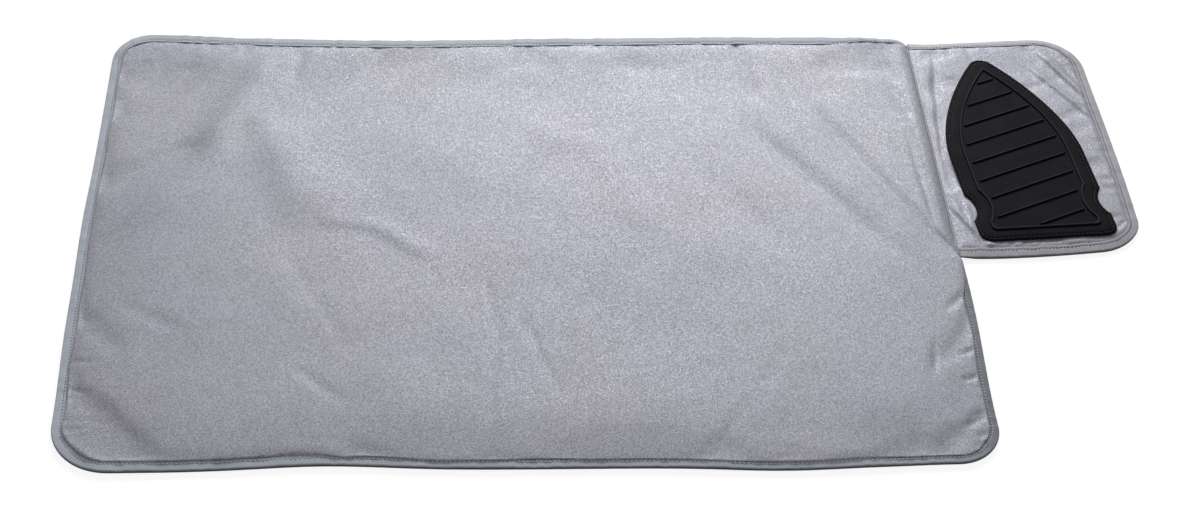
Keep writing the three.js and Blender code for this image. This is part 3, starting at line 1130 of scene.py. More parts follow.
@dataclass(frozen=True)
class Edging:
    """A tape carried along a panel's edge."""

    tape: Tape
    path: Path
    base: Array
    scale: Array
    spread: Array
    pucker: float
    seed: int
    gather: float = 11.0
    gather_puff: float = 0.04
    gather_sway: float = 0.12
    slow: float = 70.0
    slow_puff: float = 0.03
    slow_sway: float = 0.3

    def piece(self, name: str, lay: "Lay") -> Piece:
        """Carry the tape's section along the path, as a closed tube with flat ends.

        Each point lies its inset along the inward direction, and its height above the tape's foot. Where
        padding slides over the tape, its insets shrink. Small gathers move the legs between the stitches.

        Args:
            name: The piece's name.
            lay: How the laid cloth strays from its drawn edge.

        Returns:
            The new object.
        """
        section = self.tape.section()
        walked, still = self.path.walked, np.zeros_like(self.path.walked)
        gather = Wave(self.pucker, self.gather, self.seed).at(walked, still)
        slow = Wave(self.pucker, self.slow, self.seed + 1).at(walked, still)
        puff = 1.0 + gather * self.gather_puff + slow * self.slow_puff
        sway = gather * self.gather_sway + slow * self.slow_sway
        reach = (self.spread + sway / self.tape.width)[:, None] * section[None, :, 0]
        flat = self.path.place[:, None, :] + self.path.inward[:, None, :] * reach[..., None]
        height = self.base[:, None] + section[None, :, 1] * (self.scale * puff)[:, None]
        height = np.maximum(height + lay.curl(flat[..., 0], flat[..., 1]), 0.0)
        points = np.stack([*lay.moved(flat[..., 0], flat[..., 1]), height], -1)
        weave = np.stack(np.broadcast_arrays(walked[:, None], lengths(section)[None, :]), -1)
        return mesh_piece(name, points, bar_faces(1, *points.shape[:2]), weave)

    def stitches(self, name: str, lay: "Lay", level: Level, row: "StitchRow") -> Piece:
        """Make the row of stitches that lies in the dip of one leg.

        Args:
            name: The piece's name.
            lay: How the laid cloth strays from its drawn edge.
            level: The leg.
            row: The stitches' sizes.

        Returns:
            The new object.
        """
        walked = row.spots(float(self.path.walked[-1]))
        place, inward = self.path.at(walked)
        base, scale, spread = (
            np.interp(walked, self.path.walked, share) for share in (self.base, self.scale, self.spread)
        )
        flat = place + inward * (self.tape.stitch_inset * spread)[:, None]
        upper, lower = self.tape.legs(np.array(self.tape.stitch_inset))
        leg = float(upper if level is Level.UPPER else lower)
        base = base + lay.curl(flat[:, 0], flat[:, 1])
        height = np.maximum(base + scale * leg + level.value * row.proud, row.radius)
        way = np.stack([inward[:, 1], -inward[:, 0]], -1)
        return row.piece(name, np.stack([*lay.moved(flat[:, 0], flat[:, 1]), height], -1), way, level)


@dataclass(frozen=True)
class StitchRow:
    """A row of separate short stitches of one thread.

    Each stitch has five rings of six points, given by their share of its length and of its girth.
    """

    pitch: float = 3.2
    length: float = 2.1
    radius: float = 0.55
    dive: float = 0.5
    proud: float = 0.42
    rings: tuple = (-1.0, -0.72, 0.0, 0.72, 1.0)
    girths: tuple = (0.3, 0.85, 1.0, 0.85, 0.3)
    sides: int = 6

    def spots(self, length: float) -> Array:
        """Give the middles of the stitches along a row."""
        count = int(length / self.pitch)
        return (np.arange(count) + 0.5) * length / count

    def piece(self, name: str, middle: Array, way: Array, level: Level) -> Piece:
        """Make every stitch at once.

        One stitch is a short round bar, thinner at its ends, that arches out of the cloth: its height
        falls with the square of the distance from its middle.

        Args:
            name: The piece's name.
            middle: The middle of each stitch.
            way: The direction of each stitch in the plane.
            level: The side that the stitches arch towards.

        Returns:
            The new object.
        """
        share = np.array(self.rings)
        girth = np.array(self.girths)[:, None] * self.radius
        turn = np.linspace(0.0, 2.0 * math.pi, self.sides, endpoint=False)
        along = np.repeat(share[:, None] * self.length / 2.0, self.sides, axis=1)
        side = girth * np.cos(turn)
        rise = girth * np.sin(turn) - level.value * self.dive * (share**2)[:, None]
        normal = np.stack([-way[:, 1], way[:, 0]], -1)
        flat = along[..., None] * way[:, None, None, :] + side[..., None] * normal[:, None, None, :]
        height = np.broadcast_to(rise[None, ..., None], (*flat.shape[:-1], 1))
        points = np.concatenate([flat, height], -1) + middle[:, None, None, :]
        around = np.broadcast_to(turn * self.radius, along.shape)
        weave = np.broadcast_to(np.stack([along, around], -1), (*points.shape[:-1], 2))
        return mesh_piece(name, points, bar_faces(*points.shape[:3]), weave)


# The laid cloth


@dataclass(frozen=True)
class Lay:
    """How the laid pad strays from its drawn rectangles, because cloth is never cut and laid quite true.

    Each side sways by a slow wave, and the sway fades out towards the panel's middle.
    """

    main: Box
    flap: Box
    fade: float = 120.0
    flap_fade: float = 75.0
    held_width: float = 10.0
    curl_height: float = 1.8
    curl_run: float = 70.0
    curl_tip: float = 0.6
    curl_least: float = 0.4
    curl_left: Rise = Rise(0.6, 0, 90)
    curl_seam: Rise = Rise(1, -52, 44)
    flap_curl: Rise = Rise(1.2, 14, 30)
    flap_curl_run: float = 40.0
    back_shift: float = -1.6
    back_waves: tuple = (Rise(4.6, -300, -105), Hump(-4.7, -185, 125), Rise(1.6, 10, 100))
    front_waves: tuple = (Hump(4.6, -222, 64), Hump(-3.5, 106, 58), Rise(1.2, 170, 70))
    left_shift: float = -0.3
    left_waves: tuple = (Rise(2.6, -90, -120), Hump(-1.2, 12, 55))
    right_shift: float = 2.2
    right_swing: Rise = Rise(-4.3, 45, 135)
    right_start: Rise = Rise(1, -4, 12)
    flap_start: float = 290.0
    flap_back_shift: float = -4.2
    flap_back: Rise = Rise(6, 0, 110)
    flap_front_shift: float = -3.0
    flap_front: float = 12.5
    flap_front_run: float = 129.0
    flap_front_power: float = 1.6
    bow: float = 1.5
    bow_middle: float = 62.0
    bow_length: float = 400.0

    def moved(self, x: Array, y: Array) -> Pair:
        """Move places on either panel to where the laid cloth has them.

        The main panel's sides sway by waves, and its free right side swings inwards at the front. The
        flap's two ends swing more towards its outer side, which bows.

        Args:
            x: Places across.
            y: Places along.

        Returns:
            The two moved arrays.
        """
        left, right, front, back = self.main
        below_flap = self.flap[2] - y
        swing = self.right_start.at(below_flap) * (self.right_shift + self.right_swing.at(below_flap))
        main_x = near(x - left, self.fade) * (summed(self.left_waves, y) + self.left_shift)
        main_x = main_x + near(right - x, self.fade) * swing
        main_y = near(back - y, self.fade) * (summed(self.back_waves, x) + self.back_shift)
        main_y = main_y + near(y - front, self.fade) * summed(self.front_waves, x)
        _, outer, front, back = self.flap
        run = np.clip(x - self.flap_start, 0.0, None)
        onward = (run / self.flap_front_run) ** self.flap_front_power
        bow = self.bow * np.cos(2.0 * math.pi * (y - self.bow_middle) / self.bow_length)
        flap_x = near(outer - x, self.flap_fade) * bow
        flap_y = near(back - y, self.flap_fade) * (self.flap_back_shift + self.flap_back.at(run))
        front_shift = self.flap_front_shift + self.flap_front * onward
        flap_y = flap_y + near(y - front, self.flap_fade) * front_shift
        return x + np.where(x > right, flap_x, main_x), y + np.where(x > right, flap_y, main_y)

    def curl(self, x: Array, y: Array) -> Array:
        """Tell how far both back edges curl up off the table, less at the left end and not at the seam.

        Each curl falls smoothly to nothing over its run in front of the tape, which tips up a little more.

        Args:
            x: Places across.
            y: Places along.

        Returns:
            The lift at each place.
        """
        left, right, _, back = self.main
        inside = back - y - self.held_width
        main = self.curl_height * (1.0 - smooth(inside / self.curl_run))
        main = main + self.curl_tip * np.clip(-inside / self.held_width, 0.0, 1.0)
        main = main * (self.curl_least + self.curl_left.at(x - left)) * self.curl_seam.down(x - right)
        return main + self.flap_curl.at(x - right) * (1.0 - smooth(inside / self.flap_curl_run))

    def sheet(self, name: str, points: Array, thickness: float) -> Piece:
        """Make a laid sheet of cloth, whose pattern follows the drawn places, thick below its surface.

        Args:
            name: The piece's name.
            points: Grid of points of the upper side, before they are moved.
            thickness: The cloth's thickness.

        Returns:
            The new object.
        """
        weave = points[..., :2].copy()
        points[..., 0], points[..., 1] = self.moved(points[..., 0], points[..., 1])
        piece = mesh_piece(name, points, [grid_quads(*points.shape[:2])], weave)
        wall = piece.modifiers.new("thickness", "SOLIDIFY")
        wall.thickness = thickness * MM
        wall.offset = -1.0
        return piece

    def layer(self, name: str, x: Array, y: Array, top: Array, bottom: Array) -> Piece:
        """Make a laid layer between two heights, which curls and sways with the cloth.

        The upper grid and the turned lower grid are joined by a wall round their border.

        Args:
            name: The piece's name.
            x: Grid of drawn places across.
            y: Grid of drawn places along.
            top: Height of the upper surface.
            bottom: Height of the lower surface.

        Returns:
            The new object.
        """
        quads = grid_quads(*x.shape)
        index = np.arange(x.size).reshape(x.shape)
        border = np.concatenate([index[0, :-1], index[:-1, -1], index[-1, :0:-1], index[:0:-1, 0]])
        onward = np.roll(border, -1)
        wall = np.stack([border, border + x.size, onward + x.size, onward], axis=-1)
        curl = self.curl(x, y)
        places = self.moved(x, y)
        points = np.concatenate([np.stack([*places, height + curl], -1) for height in (top, bottom)])
        return mesh_piece(name, points, [quads, quads[:, ::-1] + x.size, wall], points[..., :2])


@dataclass(frozen=True)
class Sizes:
    """The model's own places, read from the frame, in millimetres."""

    main: Box
    flap: Box
    seam: float
    seam_height: float
    fold: float
    main_crown: float
    flap_crown: float
    rest_low: tuple

    @staticmethod
    def read() -> "Sizes":
        """Read the boxes of the CAD nodes and the two fold lines.

        Returns:
            The sizes.
        """
        boxes = {name: [np.array(end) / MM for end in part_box(name)] for name in frame["nodes"]}
        lines = {joint["name"]: np.array(joint["pos_m"]) / MM for joint in frame["joints"]}
        binding, band = boxes["main_binding"], boxes["flap_band"]
        seam, fold = lines["strip_fold"], lines["flap_fold"]
        return Sizes(
            main=(binding[0][0], seam[0], binding[0][1], binding[1][1]),
            flap=(seam[0], band[1][0], band[0][1], band[1][1]),
            seam=seam[0],
            seam_height=seam[2],
            fold=fold[0],
            main_crown=boxes["main_face_cloth"][1][2],
            flap_crown=boxes["flap_face_cloth"][1][2],
            rest_low=tuple(boxes["iron_rest"][0]),
        )


@dataclass
class MainPanel:
    """The padded main panel: face cloth, wadding, felt, backing, binding and their stitches."""

    sizes: Sizes
    lay: Lay
    corners: tuple = (45.0, 35.0, 34.0)
    seam_corner: float = 12.0
    edge_inset: float = 1.8
    lip: float = 10.2
    lip_height: float = 3.0
    lip_rise: float = 2.2
    lip_run: float = 1.8
    lip_power: float = 2.6
    tuck: float = 1.3
    at_back: Rise = Rise(1, -46, 36)
    back_lift: float = 2.6
    back_tuck: float = 2.0
    front_press: Rise = Rise(0.35, 70, -50)
    firm_left: Rise = Rise(1, -225, 30)
    firm_right: Hump = Hump(1, 128, 50)
    crown_drop: float = 0.75
    crown_power: float = 3.0
    side_run: float = 70.0
    front_run: float = 90.0
    back_run: float = 220.0
    seam_fade: float = 36.0
    seam_lip: float = 3.25
    seam_run: float = 9.0
    seam_off: float = 0.3
    seam_room: float = 1.0
    seam_ends: Rise = Rise(1, 8, 14)
    cloth: float = 0.7
    least: float = 4.5
    least_bound: Rise = Rise(1, 4, 6)
    least_sewn: Rise = Rise(1, 9, 5)
    creased_from: Rise = Rise(1, -1, 6)
    held_run: float = 5.0
    held_seam: float = 4.0
    swelling: Inflation = Inflation()
    spare: float = 0.2
    cap_ease: float = 0.4
    loft: Rise = Rise(2.6, 177, 60)
    waves: tuple = (Wave(0.3, 190, 11), Wave(0.09, 80, 12), Wave(0.03, 34, 13))
    waves_run: float = 30.0
    patch_level: float = 0.1
    patches: Wave = Wave(0.6, 95, 14)
    gathers: Wave = Wave(0.2, 13, 15)
    gather_start: Rise = Rise(1, -0.5, 3)
    gather_reach: float = 11.0
    lap_mean: float = 1.4
    lap_range: tuple = (0.6, 2.4)
    lap_wave: Wave = Wave(0.5, 60, 16)
    lap_front: Rise = Rise(1, 40, -30)
    lap_drawn: Hump = Hump(-1.2, -240, 15)
    lap_further: Rise = Rise(2, -228, 26)
    lap_wanes: Rise = Rise(0.9, -190, 330)
    roll_middle: float = 1.2
    roll_width: float = 2.2
    roll_widen: float = 0.35
    roll_above: Rise = Rise(1, 4, 0.5)
    roll_slid: Rise = Rise(1, 4.4, 5)
    slide_fade: float = 30.0
    slide_left: float = 1.5
    slide_right: float = 3.0
    slide_front: float = 2.0
    slide_onward: Rise = Rise(2.4, -300, 450)
    slide_start: Rise = Rise(8.6, -77, 68)
    slide_end: Rise = Rise(9.4, 14, 60)
    slide_end_fade: float = 8.0
    slide_reach: float = 16.0
    slide_most: float = 4.2
    face_lines: tuple = (
        1.8, 5.0, 8.4, 9.8, 10.3, 10.7, 11.1, 11.6, 12.2, 12.9, 13.8, 14.9, 16.3, 18.0, 20.2
    )
    right_lines: tuple = (2.1, 2.6, 3.4, *np.arange(22.0, 60.0, 1.9))
    front_lines: tuple = tuple(np.arange(22.2, 125.0, 2.1))
    face_step: float = 3.5
    wadding_lines: tuple = (15.0, 18.0, 22.0)
    wadding_step: float = 7.0
    wadding_gap: float = 1.5
    layer_gap: float = 0.3
    felt_lines: tuple = (13.6, 17.0)
    felt_step: float = 14.0
    felt_low: float = 1.1
    felt_high: float = 3.1
    backing_lines: tuple = (1.8, 6.0, 9.6, 11.0, 12.5, 15.0, 20.0)
    backing_step: float = 6.0
    backing_lift: Rise = Rise(0.85, -0.4, 3.4)
    backing_sewn: Rise = Rise(2.1, 0.6, 7)
    backing_run: float = 6.0
    backing_hollow: float = 0.3
    backing_wave: Wave = Wave(0.14, 70, 22)
    backing_gathers: Wave = Wave(0.16, 14, 21)
    backing_reach: float = 9.0
    tape: Tape = Tape(width=10.0, outer=3.2, inner=3.8, stitch_inset=7.2)
    tape_colours: tuple = ((0.43, 0.468, 0.55), (0.7, 0.755, 0.86))
    # Painted shade on the binding's last stretch, on the panel's right side: its strength and its run.
    end_shade: float = 0.6
    end_shade_run: float = 250.0
    tape_step: float = 3.0
    tape_turn: float = 5.0
    tape_back: float = 0.55
    tape_ends: Rise = Rise(0.2, 0, 16)
    tape_least: float = 0.8
    tape_seed: int = 31
    tail: float = 3.0
    tail_degrees: float = 30.0
    tape_gap: float = 0.4
    stitch: StitchRow = StitchRow()
    seam_row: StitchRow = StitchRow(pitch=3.4, length=2.6, radius=0.38, dive=0.2)
    seam_row_front: float = 2.0
    seam_row_back: float = 8.0
    wadding_fill: float = 0.6
    creases: tuple[Crease, ...] = (
        Crease((-282, 220), (-330, 104), 13, -2), Crease((-298, 112), (-384, 0), 16, -1.8),
        Crease((-344, 208), (-408, 136), 12, 1.4), Crease((-332, 108), (-408, 50), 12, 2.4),
        Crease((-294, 144), (-234, 12), 20, -2.4, right=0.7, widen=1),
        Crease((-234, 9), (-190, 2), 16, -0.9, right=0.4),
        Crease((-194, 4), (-150, -36), 14, -1, right=0.4), Crease((-263, -26), (-206, -138), 6, 0.4),
        Crease((-257, 238), (-267, 190), 5.5, 1), Crease((-389, 214), (-410, 190), 6, 1),
        Crease((-378, -86), (-331, -116), 6, 0.5), Crease((-412, -88), (-374, -138), 9, 0.7),
        Crease((-410, -176), (-348, -236), 11, 0.9, right=3), Crease((-412, -143), (-394, -147), 1.8, 0.7),
        Crease((-411, -172), (-394, -177), 1.8, 0.7), Crease((-412, 165), (-396, 162), 3, 0.3),
        Crease((-412, 122), (-394, 120), 3, 0.3), Crease((-105, -60), (-98, -128), 2.6, 0.7),
        Crease((-98, -122), (-107, -220), 2.6, 0.8), Crease((-82, -92), (-53, -186), 3.2, 0.7),
        Crease((-77, -148), (-102, -186), 3, 0.3), Crease((-246, -154), (-215, -189), 4.5, 0.5),
        Crease((-68, 125), (-18, 103), 13, -0.5), Crease((-18, 104), (32, -14), 12, -0.6),
        Crease((68, 78), (134, -32), 13, 0.9), Crease((116, 126), (222, -40), 10, 2),
        Crease((170, 154), (256, -28), 7.5, 2), Crease((114, 240), (125, 164), 4.2, 2.6),
        Crease((238, 216), (258, 188), 7, 0.9), Crease((263, -68), (243, -94), 2.6, 1),
        Crease((230, -129), (226.5, -164), 2.2, 0.8), Crease((256, -206), (240, -218), 2.6, 0.9),
        Crease((247.5, 104), (252.5, 0), 2.2, 1.1), Crease((257, 96), (261, 10), 1.7, 0.6),
        Crease((240, 196), (260, 126), 6.5, 0.8), Crease((267, -92), (220, -166), 7, 0.6),
        Crease((104, -154), (99, -176), 4, 0.4), Crease((83, -188), (63, -224), 4.5, 0.45),
        Crease((204, -186), (206, -234), 4, 0.6), Crease((262, -132), (248, -143), 2.4, 1.1),
        Crease((262, -162), (244, -172), 2.4, 1), Crease((260, -200), (244, -208), 2.2, 0.7),
        Crease((257, -222), (247, -226), 2, 1), Crease((252, -232), (243, -233), 2, 0.9),
    )

    def outline(self) -> Rounded:
        """Give the panel's drawn outline."""
        return Rounded(self.sizes.main, (*self.corners, self.seam_corner))

    def grid(
        self, lines: tuple, step: float, right_lines: tuple = (), front_lines: tuple = ()
    ) -> Pair:
        """Lay a grid over the panel, close together near its edge, with round corners.

        Args:
            lines: Insets of the lines near the edge; the first is the grid's border.
            step: Spacing of the other lines.
            right_lines: Insets of more lines on the right.
            front_lines: Insets of more lines in front, beyond the near ones.

        Returns:
            The places across and along, as two grids.
        """
        left, right, front, back = self.sizes.main
        across = left + stations(lines, sorted([*lines, *right_lines]), right - left, step)
        along = front + stations([*lines, *front_lines], lines, back - front, step)
        return self.outline().inner(lines[0]).bend(*np.meshgrid(across, along))

    def seam_share(self, x: Array, y: Array) -> Array:
        """Tell how much a place belongs to the seam's side, where no binding holds the cloth down.

        It is 1 where the seam is nearer than the back and than the line of the flap's front, and fades
        to 0 over a short way on either side.

        Args:
            x: Places across.
            y: Places along.

        Returns:
            The share from 0 to 1.
        """
        _, right, _, back = self.sizes.main
        from_back = smooth(((back - y) - (right - x)) / self.seam_fade + 0.5)
        from_front = smooth(((y - self.sizes.flap[2]) - (right - x)) / self.seam_fade + 0.5)
        return from_back * from_front

    def face_height(self, x: Array, y: Array) -> Array:
        """Give the padded face's height before its creases.

        Inside the binding the cloth rises from its tucked border, beside it in a tight roll, which the back
        lacks and the front has in two firm stretches only, and then slowly to the crown. Along the seam it
        falls straight down to the seam line.

        Args:
            x: Places across.
            y: Places along.

        Returns:
            The height at each place.
        """
        inset, _, _ = self.outline().edge(x, y)
        left, right, front, back = self.sizes.main
        crown = self.sizes.main_crown - self.crown_drop
        at_back = self.at_back.at(y - back)
        lip = self.lip_height + self.back_lift * at_back
        firm = np.maximum(self.firm_left.down(x), self.firm_right.at(x))
        pressed = self.front_press.at(y - front) * (1.0 - firm)
        roll = self.lip_rise * (1.0 - at_back) * (1.0 - pressed)
        across = np.minimum(x - left, right - x) - self.lip
        rise = swell(across / self.side_run, self.crown_power)
        rise = rise * swell((y - front - self.lip) / self.front_run, self.crown_power)
        onward = smooth((back - y - self.lip) / self.back_run)
        above = crown - lip - roll
        rolled = roll * swell((inset - self.lip) / self.lip_run, self.lip_power)
        bound = lip + rolled + above * rise * onward
        bound = bound - (self.tuck + self.back_tuck * at_back) * (1.0 - np.clip(inset / self.lip, 0.0, 1.0))
        padded = lip + roll + above * onward
        fall = swell((inset - self.edge_inset) / self.seam_run, self.lip_power)
        sewn = self.seam_lip + (padded - self.seam_lip) * fall
        share = self.seam_share(x, y)
        return bound * (1.0 - share) + sewn * share

    def to_seam(self, x: Array, y: Array, inset: Array, room: float) -> Array:
        """Draw the border of a layer, which stops short of the binding's nose, out to the seam line.

        It stays off the line by a little more than the cloth's thickness, plus room for the folded strip,
        which closes up towards the seam's two ends.

        Args:
            x: Places across.
            y: Places along.
            inset: How far inside the panel's edge the places lie.
            room: Extra room before the seam line.

        Returns:
            The new places across.
        """
        ends = np.minimum(y - self.sizes.flap[2], self.sizes.main[3] - y)
        way = self.edge_inset - self.seam_off - room * self.seam_ends.at(ends)
        return x + way * self.seam_share(x, y) * (1.0 - smooth((inset - self.edge_inset) / self.seam_run))

    def face(self) -> Piece:
        """Make the face cloth: a creased and swollen sheet whose edge is tucked into the binding.

        Soft waves make it uneven. Gathers run in from the binding in patches, square to the nearest edge.

        Returns:
            The new object.
        """
        x, y = self.grid(self.face_lines, self.face_step, self.right_lines, self.front_lines)
        inset, edge_x, edge_y = self.outline().edge(x, y)
        beyond = inset - self.lip
        height = self.face_height(x, y)
        share = self.seam_share(x, y)
        patch = smooth(self.patch_level + self.patches.at(edge_x, edge_y)) * self.gather_start.at(beyond)
        gathers = self.gathers.at(edge_x, edge_y) * patch * fading(beyond / self.gather_reach)
        waves = sum(wave.at(x, y) for wave in self.waves) * smooth(beyond / self.waves_run) + gathers
        waves = waves + creased(x, y, self.creases) * self.creased_from.at(beyond)
        bound, sewn = self.least_bound.at(beyond), self.least_sewn.at(inset)
        least = self.least * (bound * (1.0 - share) + sewn * share)
        points = np.stack([x, y, np.maximum(height + waves, least)], -1)
        at_seam = share * (inset < self.held_seam)
        held = 1.0 - smooth(beyond / self.held_run) * (1.0 - at_seam)
        points = points + finer(self.swelling.moves(points[::2, ::2], held[::2, ::2]))
        outward = np.stack([edge_x - x, edge_y - y], -1) / np.maximum(inset, 0.5)[..., None]
        points[..., :2] += outward * self.overhang(x, y, height)[..., None]
        points[..., 0] = self.to_seam(points[..., 0], y, inset, self.seam_room)
        top = self.sizes.main_crown + self.spare + self.loft.at(self.sizes.seam - x)
        points[..., 2] = capped(points[..., 2] + self.lay.curl(x, y), top, self.cap_ease)
        return self.lay.sheet("main_face", points, self.cloth)

    def slide(self, edge_x: Array, edge_y: Array) -> Array:
        """Tell how far the padding slides out over the binding: mostly in front, and over both of its ends.

        Args:
            edge_x: Places of the edge across.
            edge_y: Places of the edge along.

        Returns:
            The way outwards at each place.
        """
        left, right, front, back = self.sizes.main
        at_back = near(back - edge_y, self.slide_fade)
        ways = [
            self.slide_left * near(edge_x - left, self.slide_fade),
            self.slide_right * near(right - edge_x, self.slide_fade),
            (self.slide_front + self.slide_onward.at(edge_x)) * near(edge_y - front, self.slide_fade),
            self.slide_start.at(edge_x - right) * at_back,
            self.slide_end.down(self.sizes.flap[2] - edge_y) * near(right - edge_x, self.slide_end_fade),
        ]
        return np.maximum.reduce(ways) - at_back

    def overhang(self, x: Array, y: Array, height: Array) -> Array:
        """Tell how far each place of the rolled cloth leans out over the binding.

        The roll laps a little here and there, draws back at one spot in front and laps further beyond it.
        The lap fades in a bell curve away from the roll, and only cloth above the binding leans out. Where
        the padding slides over the binding, all of the cloth's edge is drawn out towards the panel's edge.

        Args:
            x: Places across.
            y: Places along.
            height: The padded face's height there.

        Returns:
            The way outwards at each place.
        """
        inset, edge_x, edge_y = self.outline().edge(x, y)
        beyond = inset - self.lip
        _, _, front, back = self.sizes.main
        further = self.lap_further.at(edge_x) * (1.0 - self.lap_wanes.at(edge_x))
        in_front = self.lap_front.at(edge_y - front) * (self.lap_drawn.at(edge_x) + further)
        lap = np.clip(self.lap_mean + self.lap_wave.at(edge_x, edge_y), *self.lap_range)
        lap = (lap + in_front) * self.at_back.down(y - back)
        slide = self.slide(edge_x, edge_y)
        roll = lap * bell((beyond - self.roll_middle) / (self.roll_width + self.roll_widen * np.abs(lap)))
        roll = roll * self.roll_above.at(height) * self.roll_slid.down(slide)
        slid = bell(np.clip(beyond, 0.0, None) / self.slide_reach)
        drawn = slide * np.minimum(inset / self.lip, 1.0) * slid
        return (1.0 - self.seam_share(x, y)) * (roll + drawn)

    def wadding(self) -> Piece:
        """Make the wadding: a crowned body under the face, flat on the felt.

        Returns:
            The new object.
        """
        x, y = self.grid(self.wadding_lines, self.wadding_step)
        top = self.face_height(x, y) + np.minimum(creased(x, y, self.creases), 0.0) - self.cloth
        floor = self.felt_high + self.layer_gap
        top = np.maximum(top - self.wadding_gap, floor + self.layer_gap)
        return self.lay.layer("main_wadding_fill", x, y, top, floor)

    def felt(self) -> Piece:
        """Make the felt: a thin even layer that lies on the backing."""
        x, y = self.grid(self.felt_lines, self.felt_step)
        return self.lay.layer("main_felt_layer", x, y, self.felt_high, self.felt_low)

    def backing(self) -> Piece:
        """Make the backing: flat on the table, lifted over the binding's lower leg and up to the seam.

        Returns:
            The new object.
        """
        x, y = self.grid(self.backing_lines, self.backing_step)
        inset, edge_x, edge_y = self.outline().edge(x, y)
        beyond = inset - self.lip
        x = self.to_seam(x, y, inset, 0.0)
        share = self.seam_share(x, y)
        gathers = self.backing_gathers.at(edge_x, edge_y) * fading(beyond / self.backing_reach)
        hollow = self.backing_hollow + self.backing_wave.at(x, y) + gathers
        bottom = self.backing_lift.down(beyond) * (1.0 - share) + self.backing_sewn.down(inset) * share
        bottom = bottom + np.clip(hollow, 0.0, None) * smooth(beyond / self.backing_run)
        return self.lay.layer("main_backing_cloth", x, y, bottom + self.cloth, bottom)

    def edging(self) -> Edging:
        """Carry the binding from the seam's back corner round the left side to the flap's front.

        Returns:
            The edging.
        """
        left, right, front, back = self.sizes.main
        turn = math.radians(self.tail_degrees)
        radius = self.seam_corner
        first = (right - radius + radius * math.cos(turn), back - radius + radius * math.sin(turn))
        points = [
            (first[0] + self.tail * math.sin(turn), first[1] - self.tail * math.cos(turn), 0.0),
            (first[0] - radius * math.tan(turn) * math.sin(turn), back, radius),
            (left, back, self.corners[2]),
            (left, front, self.corners[0]),
            (right, front, self.corners[1]),
            (right, self.sizes.flap[2] - self.tape_gap, 0.0),
        ]
        path = Path.through(points, self.tape_step, self.tape_turn)
        x, y = path.place.T
        ends = np.minimum(path.walked, path.walked[-1] - path.walked)
        scale = self.tape_least + self.tape_ends.at(ends)
        scale = scale * (1.0 + self.tape_back * self.at_back.at(y - back))
        spread = 1.0 - np.minimum(self.slide(x, y), self.slide_most) / self.lip
        return Edging(self.tape, path, np.zeros_like(ends), scale, spread, 1.0, self.tape_seed)

    def seam_stitches(self) -> Piece:
        """Make the row of stitches that sews the flap's cloth to the panel, down in the seam.

        Returns:
            The new object.
        """
        _, _, front, back = self.sizes.flap
        y = self.seam_row.spots(back - front - self.seam_row_front - self.seam_row_back)
        y = front + self.seam_row_front + y
        x, z = np.full_like(y, self.sizes.seam), np.full_like(y, self.sizes.seam_height)
        way = np.tile([0.0, 1.0], (len(y), 1))
        return self.seam_row.piece("seam_stitches", np.stack([x, y, z], -1), way, Level.UPPER)

    def build(self) -> None:
        """Make and dress every piece of the panel, all riding on the main body."""
        edging = self.edging()
        face, wadding, felt, backing = self.face(), self.wadding(), self.felt(), self.backing()
        binding = edging.piece("main_binding_tape", self.lay)
        needle = edging.stitches("main_needle_stitches", self.lay, Level.UPPER, self.stitch)
        bobbin = edging.stitches("main_bobbin_stitches", self.lay, Level.LOWER, self.stitch)
        seam = self.seam_stitches()
        tape = FoldedTape(
            "blue_grey_tape",
            *self.tape_colours,
            *self.tape.rows(),
            # Painted shade over the binding's last stretch, on the right side up to the flap.
            end_shade_from=float(edging.path.walked[-1]) - self.end_shade_run,
            end_shade=self.end_shade,
        )
        for piece, finish, slot, node in (
            (face, SILVER, Slot.FACE, "main_face_cloth"),
            (wadding, WADDING, Slot.WADDING, "main_wadding"),
            (felt, FELT, Slot.FELT, "main_felt"),
            (backing, BACKING, Slot.BACKING, "main_backing"),
            (binding, tape, Slot.BINDING, "main_binding"),
            (needle, PALE_THREAD, Slot.THREAD, "main_needle_thread"),
            (bobbin, PALE_THREAD, Slot.THREAD, "main_bobbin_thread"),
            (seam, PALE_THREAD, Slot.THREAD, "seam_thread"),
        ):
            dress(piece, finish, slot, node)
            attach(piece, Body.MAIN.value)
        left, right, front, back = self.sizes.main
        flat = ((right - left) * MM, (back - front) * MM)
        cut = 2.0 * self.felt_lines[0]
        felt_flat = ((right - left - cut) * MM, (back - front - cut) * MM)


